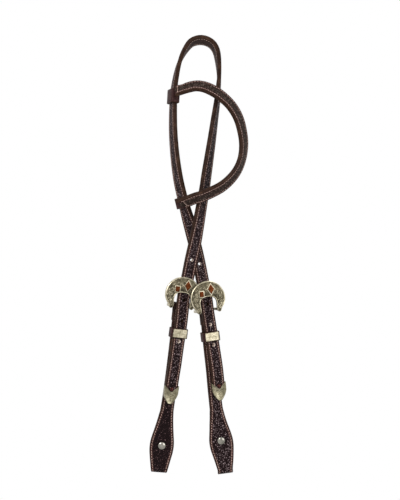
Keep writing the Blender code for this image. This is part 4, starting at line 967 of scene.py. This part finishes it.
def crescent_section(width):
    """The crescent's outline across its width: place, height over the back, and finish."""
    scale = MM * min(1.0, width / HORN_WIDTH)
    over = [(at * scale, lift * scale, BRIGHT) for at, lift in RIM_SHAPE]
    start, end = RIM_INSIDE * scale, width - RIM_INSIDE * INNER_RIM_SHARE * scale
    pace = (width - RIMS_INSIDE * scale) / (FIELD_STEPS + 1)
    dip = FIELD_DIP / MM * scale
    over += [(start + pace * k, dip, FIELD) for k in range(FIELD_STEPS + 1)]
    over += [(end, dip, BRIGHT)] + [(width - at * INNER_RIM_SHARE * scale, lift * scale, BRIGHT)
                                    for at, lift in RIM_SHAPE[::-1]]
    edge = EDGE_HEIGHT * scale
    return ([(0.0, 0.0, BRIGHT), (0.0, edge, BRIGHT)]
            + [(at, plate_height(at / width, width) + lift, kind) for at, lift, kind in over]
            + [(width, edge, BRIGHT), (width, 0.0, BRIGHT)])


def scroll_lines():
    """The engraving, in mm along the crescent and across it: a vine with curls, husks and tendrils."""
    half_turn = SCROLL_WAVE / 2
    reach = int(pair_marks[-1] / MM / SCROLL_WAVE) * 0.5
    spots = [-reach * SCROLL_WAVE + k * 0.5 for k in range(int(reach * SCROLL_WAVE * 4))]
    lines = [[(spot, VINE_SWING * math.sin(math.pi * spot / half_turn)) for spot in spots]]
    for number in range(int(-2 * reach), int(2 * reach)):
        at = (number + 0.5) * half_turn
        way = -1 if number % 2 else 1
        lines.append(curl((at, -0.4 * way), math.pi * (0.5 if way > 0 else -0.5), 2.3, way))
        for spread in (-1, 1):
            lines.append([(at + spread * (1.2 + 0.5 * k), way * (3.0 + 0.9 * math.sin(k * 0.5)))
                          for k in range(6)])
        lines.append([(at + 2.2 * way - 0.35 * k, -way * (2.0 + 0.42 * k)) for k in range(6)])
    stretches = [line[start:start + 31] for line in lines for start in range(0, len(line) - 1, 30)]
    return [stretch for stretch in stretches if len(stretch) > 2]


post_middle = (pairs[HORN_STEPS - 1][0].x + pairs[HORN_STEPS - 1][1].x) / 2
engraving = scroll_lines()
for side in ("left", "right"):
    back = -(BILLET_FRONT + STANDOFFS[side])
    mesh = bmesh.new()
    seat = bars[side] @ Matrix.Translation((SLID[side], 0.0, 0.0))
    rings = []
    for outer, inner in pairs:
        width = (outer - inner).length
        section = crescent_section(width)
        spots = [(outer.lerp(inner, at / width), raised) for at, raised, _ in section]
        rings.append([mesh.verts.new(seat @ Vector((spot.x, back - raised, spot.z))) for spot, raised in spots])
    add_tube(mesh, rings, [kind for _, _, kind in section], BRIGHT)
    for way in (-1, 1):
        post = seat @ Matrix.Translation((way * post_middle, 0.0, 0.0))
        posts = [add_ring(mesh, lambda spot: post @ spot, round_cornered(
            POST_WIDTH / 2 - POST_ROUND, BAR_RADIUS - POST_ROUND, POST_ROUND + grow, 2), depth)
            for depth, grow in ((back - POST_SUNK_SHARE * PLATE_RIM, 0.0), (BAR_RADIUS - POST_CHAMFER, 0.0),
                                (BAR_RADIUS, -POST_CHAMFER))]
        add_tube(mesh, posts, [BRIGHT] * 12, BRIGHT)
    crescent = finish_piece(side + "_silver_crescent", mesh, silvers, 32)

    mesh = bmesh.new()
    to_plate = seat @ Matrix.Translation((0.0, back, 0.0))
    outward = -bars[side].to_3x3().col[1]
    for line in engraving:
        bead(mesh, [to_plate @ plate_spot(x * MM, y * MM) for x, y in line], [outward] * len(line),
             SCROLL_HALF, SCROLL_HALF)
    for _, across, rise, outline in COPPERS:
        seat_of = to_plate @ Matrix.Translation((across * MM, -PLATE_RIM - PLATE_DOME, rise * MM))
        stepped(mesh, lambda spot: seat_of @ spot, outline, COPPER_BEZEL)
    scrolls = finish_piece(side + "_buckle_scrolls", mesh, silvers, 50)
    for made in (crescent, scrolls):
        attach(made, side + "_buckle")
    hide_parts(side + "_buckle_crescent")
    for name, across, rise, outline in COPPERS:
        mesh = bmesh.new()
        seat_of = to_plate @ Matrix.Translation((across * MM, -PLATE_RIM - PLATE_DOME, rise * MM))
        stepped(mesh, lambda spot: seat_of @ spot, outline, COPPER_FACE)
        made = finish_piece(f"{side}_copper_{name}", mesh, [copper], 50)
        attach(made, side + "_buckle")
        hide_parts(f"{side}_buckle_{name}")

# Bars and tongues.
# The steel bar lies in the fold of the cheek, between the buckle's posts. The tongue's ring turns
# on it, and the tongue's peg comes forward through a hole of the strap, under the crescent.
steel = clouded("dark_steel", 0.36, 1.0, 300.0, 5.0, (
    (0.35, (0.028, 0.024, 0.021)), (0.6, (0.075, 0.067, 0.060)), (0.8, (0.15, 0.14, 0.125))), 0.3)


def lathe(name, profile, seat, finish, sides=48):
    """A (radius, depth) profile turned about its seat's Y axis."""
    mesh = bmesh.new()
    rings = []
    for radius, depth in profile:
        if radius:
            rings.append(add_ring(mesh, lambda spot: seat @ spot, circle(radius, sides), depth))
        else:
            rings.append([mesh.verts.new(seat @ Vector((0.0, depth, 0.0)))] * sides)
    for first, second in zip(rings, rings[1:]):
        for index in range(sides):
            following = (index + 1) % sides
            corners = dict.fromkeys((first[index], first[following], second[following], second[index]))
            if len(corners) > 2:
                mesh.faces.new(corners)
    return finish_piece(name, mesh, [finish], 42)


def domed(radius, height, base, steps, power=1.0):
    """The profile of a dome that stands forward of its base, without the base's own rim."""
    return [(radius * math.sin(turn), base - height * math.cos(turn) ** power)
            for turn in (math.pi / 2 * k / steps for k in range(steps))]


bar_reach = post_middle - POST_WIDTH / 2 - FIT
for side in ("left", "right"):
    seat = bars[side] @ Matrix.Translation((SLID[side], 0.0, 0.0)) @ Matrix.Rotation(math.radians(-90), 4, "Z")
    ends = [(0.0, 0.0), (0.9, 0.0), (1.3, 0.12), (1.45, 0.4), (1.45, 1.1), (1.62, 1.3), (1.7, 1.6)]
    profile = [(radius * MM, -bar_reach + along * MM) for radius, along in ends]
    bar = lathe(side + "_bar", profile + [(radius, -depth) for radius, depth in profile[::-1]], seat, steel, 32)
    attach(bar, side + "_buckle")
    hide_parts(side + "_buckle_bar")
    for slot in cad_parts[side + "_tongue"].material_slots:
        slot.material = steel

# Keepers.
# Each is a sewn leather loop that holds the billet down on the cheek and slides along both, with
# an engraved silver plate fixed on its front.
KEEPER_DROP = 32.8 * MM
KEEPER_CLEARANCE = 0.6 * MM
KEEPER_WALL = 1.2 * MM
KEEPER_HEIGHT = 12.0 * MM
KEEPER_PLATE_HALVES = (7.8, 4.2)
KEEPER_PLATE_CORNER = 0.9
stack = BILLET_FRONT + LINING_MIDDLE + PLY / 2
plate_outline = round_cornered(*KEEPER_PLATE_HALVES, KEEPER_PLATE_CORNER, 3)
for side in ("left", "right"):
    middle = Vector((0.0, (LINING_MIDDLE + PLY / 2 - BILLET_FRONT) / 2, -KEEPER_DROP))
    behind, before = cheek_lies[side](middle), billet_lies[side](middle)
    seat = Matrix.Translation((behind + before) / 2) @ bars[side].to_3x3().to_4x4()
    loop = leather_loop(side + "_keeper_leather", seat,
                        STRAP_WIDTH + (before - behind).length + 2 * KEEPER_CLEARANCE,
                        stack + 2 * KEEPER_CLEARANCE, KEEPER_WALL, KEEPER_HEIGHT)
    front = stack / 2 + KEEPER_CLEARANCE + KEEPER_WALL + PLY_GAP
    face = seat @ Matrix.Translation((0.0, -front, 0.0))
    mesh = bmesh.new()
    stepped(mesh, lambda spot: face @ spot, plate_outline, [(grow, lift, BRIGHT) for grow, lift in (
        (0.0, 0.0), (0.0, 0.65), (-0.2, 0.92), (-0.5, 0.95), (-0.8, 0.6))])
    lines = []
    for at, way in ((-5.2, 1), (-2.6, -1), (0.0, 1), (2.6, -1), (5.2, 1)):
        lines.append(curl((at, -0.2 * way), math.pi * 0.5 * way, 1.5, way, 1.1, 16))
        lines += [[(at + 1.2 * turn, rise + 0.25 * turn * turn) for turn in (-0.9, -0.3, 0.3, 0.9)]
                  for rise in (-2.9, 2.6)]
    for line in lines:
        flat_bead(mesh, line, lambda spot: face @ (spot - Vector((0.0, 0.6 * MM, 0.0))),
                  0.18 * MM, 0.25 * MM, OLIVE)
    plate = finish_piece(side + "_keeper_silver", mesh, silvers, 32)
    for made, slot, node in ((loop, "tooled_leather", "_keeper_loop"),
                             (plate, "engraved_silver", "_keeper_plate")):
        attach(made, side + "_keeper")
        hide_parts(side + node)

# Strap tips.
# The billet's point sits in a folded cap of silver sheet, notched at its top and chased like a
# leaf. A dark copper rivet above the notch holds the two plies together.
TIP_SHEET = 0.7
TIP_NOTCH = 8.0
TIP_CURVE = 1.9
RIVET_RADIUS = 2.7 * MM
RIVET_HEIGHT = 1.6 * MM
tip_front = (BILLET_FRONT + FIT) / MM + TIP_SHEET
rivet_copper = clouded("rivet_copper", 0.3, 1.0, 500.0, 4.0, (
    (0.35, (0.026, 0.009, 0.008)), (0.65, (0.075, 0.027, 0.024))))


def tip_outline(length, grow, top, notch):
    """The strap's end in mm, grown all round, with a V notch in its top edge if one is given."""
    half, point_from = STRAP_WIDTH / MM / 2, -length + TIP_LENGTH * TIP_TAPER_SHARE / MM
    left = [(-half - grow, top)]
    for step in range(17):
        share = step / 16
        left.append((-half * (1 - TIP_NARROWING * share ** TIP_CURVE) - grow,
                     point_from - (length + point_from) * share - grow * share))
    return left + [(-x, z) for x, z in left[::-1]] + ([(0.0, top - notch)] if notch else [])


for side in ("left", "right"):
    lie = billet_lies[side]
    length = BILLET_LENGTHS[side] / MM
    tip_top = -length + TIP_LENGTH / MM
    mesh = bmesh.new()
    around = tip_outline(length, FIT / MM + TIP_SHEET, tip_top, TIP_NOTCH)
    stepped(mesh, lie, around, [(grow, lift, OLIVE) for grow, lift in (
        (-0.15, BILLET_BACK / MM + 0.3), (0.0, BILLET_BACK / MM + 0.45), (0.0, tip_front - 0.35),
        (-0.3, tip_front), (-0.7, tip_front + 0.02), (-0.95, tip_front - 0.15))])
    tip = finish_piece(side + "_silver_tip", mesh, silvers, 32)
    within = [(x * MM, z * MM) for x, z in tip_outline(length, FIT / MM, tip_top + 1.0, 0.0)]
    carve(tip, within, lie, -(BILLET_FRONT + FIT), -BILLET_BACK + OVERRUN)
    mesh = bmesh.new()
    root = tip_top - TIP_NOTCH - 1.6
    lines = [[(0.0, root - 0.8 * k) for k in range(13)]]
    for number in range(4):
        for way in (-1, 1):
            lines.append([(way * (0.35 + 0.62 * k), root - 1.2 - 2.3 * number + 0.5 * k - 0.025 * k * k)
                          for k in range(int(9 - 1.9 * number))])
    for way in (-1, 1):
        lines.append([(way * (7.2 - 0.62 * k), tip_top - 2.6 - 0.56 * k) for k in range(9)])
    for line in lines:
        flat_bead(mesh, line, lambda spot: lie(spot - Vector((0.0, (tip_front - 0.15) * MM, 0.0))),
                  0.3 * MM, 0.22 * MM, FIELD)
    veins = finish_piece(side + "_tip_veins", mesh, silvers, 50)
    wall = math.hypot(1.0, TIP_NOTCH / (STRAP_WIDTH / MM / 2 + FIT / MM + TIP_SHEET))
    spot = Vector((0.0, -(BILLET_FRONT + FIT), (tip_top - TIP_NOTCH) * MM + RIVET_RADIUS * wall + FIT))
    seat = Matrix.Translation(lie(spot)) @ bars[side].to_3x3().to_4x4()
    rivet = lathe(side + "_rivet_head", domed(RIVET_RADIUS, RIVET_HEIGHT, 0.0, 12, 0.8)
                  + [(RIVET_RADIUS, -0.15 * MM), (RIVET_RADIUS, 0.0), (0.0, 0.0)], seat, rivet_copper)
    for made in (tip, veins, rivet):
        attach(made, side + "_cheek")
    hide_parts(side + "_tip")
    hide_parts(side + "_tip_rivet")

# Chicago screws.
# A domed, polished post comes through the bit end from the front, and a slotted screw turns into
# it from behind. Taking it out opens the fold for the bit.
polished = clouded("polished_steel", 0.12, 1.0, 200.0, 4.0, (
    (0.3, (0.15, 0.143, 0.12)), (0.7, (0.34, 0.325, 0.285))))
DOME_RADIUS = 4.9 * MM
DOME_HEIGHT = 2.4 * MM
SCREW_HEAD = 1.4 * MM
BORE_RADIUS = 1.9 * MM
SHANK_RADIUS = 1.5 * MM
for side in ("left", "right"):
    seat = screw_seat(side)
    face, tab_back = -(CHEEK_FRONT + FIT), BACK_PLY_MIDDLE + PLY / 2
    post = lathe(side + "_stud", domed(DOME_RADIUS, DOME_HEIGHT, face, 14) + [
        (DOME_RADIUS, face - 0.12 * MM), (DOME_RADIUS - 0.1 * MM, face), (BARREL_RADIUS, face),
        (BARREL_RADIUS, tab_back), (BORE_RADIUS, tab_back), (BORE_RADIUS, face + FIT), (0.0, face + FIT)],
        seat, polished)
    head = tab_back + FIT
    back = head + SCREW_HEAD
    screw = lathe(side + "_slotted_screw", [
        (0.0, face + 2 * FIT), (SHANK_RADIUS - 0.2 * MM, face + 2 * FIT), (SHANK_RADIUS, face + 3 * FIT),
        (SHANK_RADIUS, head), (SCREW_HEAD_RADIUS - 0.2 * MM, head), (SCREW_HEAD_RADIUS, head + 0.25 * MM),
        (SCREW_HEAD_RADIUS, back - 0.5 * MM), (SCREW_HEAD_RADIUS - 0.25 * MM, back - 0.15 * MM),
        (SCREW_HEAD_RADIUS - 0.7 * MM, back), (0.0, back)], seat, polished)
    slot_half, slot_reach = 0.5 * MM, SCREW_HEAD_RADIUS + OVERRUN
    carve(screw, [(-slot_reach, -slot_half), (slot_reach, -slot_half), (slot_reach, slot_half),
                  (-slot_reach, slot_half)], lambda spot: seat @ spot, back - 0.6 * MM, back + OVERRUN)
    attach(post, side + "_cheek")
    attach(screw, side + "_screw")
    for made, node in ((post, "_screw_post"), (screw, "_screw")):
        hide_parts(side + node)

# The white studio.
# The headstall hangs in front of a pale sweep, lit softly from all round.
CAMERA_DISTANCE = 1.15
PIXEL = 1.235 * MM
PHOTO_HEIGHT = 500
CROWN_TOP = 42
AIM_HEIGHT = -0.27
lens = bpy.data.cameras.new("camera")
camera = bpy.data.objects.new("camera", lens)
lens.sensor_fit = "VERTICAL"
lens.sensor_height = 24.0
lens.lens = lens.sensor_height * CAMERA_DISTANCE / (PHOTO_HEIGHT * PIXEL)
lens.clip_end = 20.0
camera.location = (-1.0 * PIXEL, -CAMERA_DISTANCE, (CROWN_TOP - PHOTO_HEIGHT / 2) * PIXEL)
camera.rotation_euler = (math.radians(90), 0.0, 0.0)
bpy.context.scene.collection.objects.link(camera)
bpy.context.scene.camera = camera

for name, place, size, power in (("key", (-0.9, -1.3, 0.7), 0.9, 22.0), ("fill", (1.1, -1.0, 0.1), 1.1, 10.0),
                                 ("rim", (0.3, 1.1, 0.8), 0.9, 12.0), ("low", (0.0, -0.9, -1.1), 0.9, 4.0)):
    lamp = bpy.data.lights.new(name, "AREA")
    lamp.size = size
    lamp.energy = power
    light = bpy.data.objects.new(name, lamp)
    light.location = place
    aim = Vector((0.0, 0.0, AIM_HEIGHT)) - Vector(place)
    light.rotation_euler = aim.to_track_quat("-Z", "Y").to_euler()
    bpy.context.scene.collection.objects.link(light)


def show_white(owner, lit, white, output):
    """Show plain white to camera, glossy and transmission rays, and the lit shader to the rest."""
    rays = add_node(owner, "LightPath")
    share = rays.outputs["Is Camera Ray"]
    for kind in ("Is Glossy Ray", "Is Transmission Ray"):
        share = add_node(owner, "Math", {"operation": "MAXIMUM"}, i0=share, i1=rays.outputs[kind]).outputs[0]
    mixed = add_node(owner, "MixShader", None, i0=share, i1=lit.outputs[0], i2=white.outputs[0])
    link(owner, mixed.outputs[0], owner.node_tree.nodes[output].inputs["Surface"])


world = bpy.data.worlds.new("studio")
bpy.context.scene.world = world
world.use_nodes = True
sky = world.node_tree.nodes["Background"]
sky.inputs["Color"].default_value = (0.55, 0.55, 0.56, 1.0)
show_white(world, sky, add_node(world, "Background", None, Color=(1.0, 1.0, 1.0, 1.0)), "World Output")

FLOOR = -0.62
floor_mesh = bmesh.new()
floor_mesh.faces.new([floor_mesh.verts.new((x, y, FLOOR)) for x, y in ((-6, -6), (6, -6), (6, 6), (-6, 6))])
floor_finish, floor_shader = new_finish("studio_floor", 0.9, Base_Color=(0.8, 0.8, 0.8, 1.0))
show_white(floor_finish, floor_shader, add_node(floor_finish, "Emission"), "Material Output")
floor = finish_piece("floor", floor_mesh, [floor_finish], 30)

bpy.context.scene.view_settings.view_transform = "Standard"
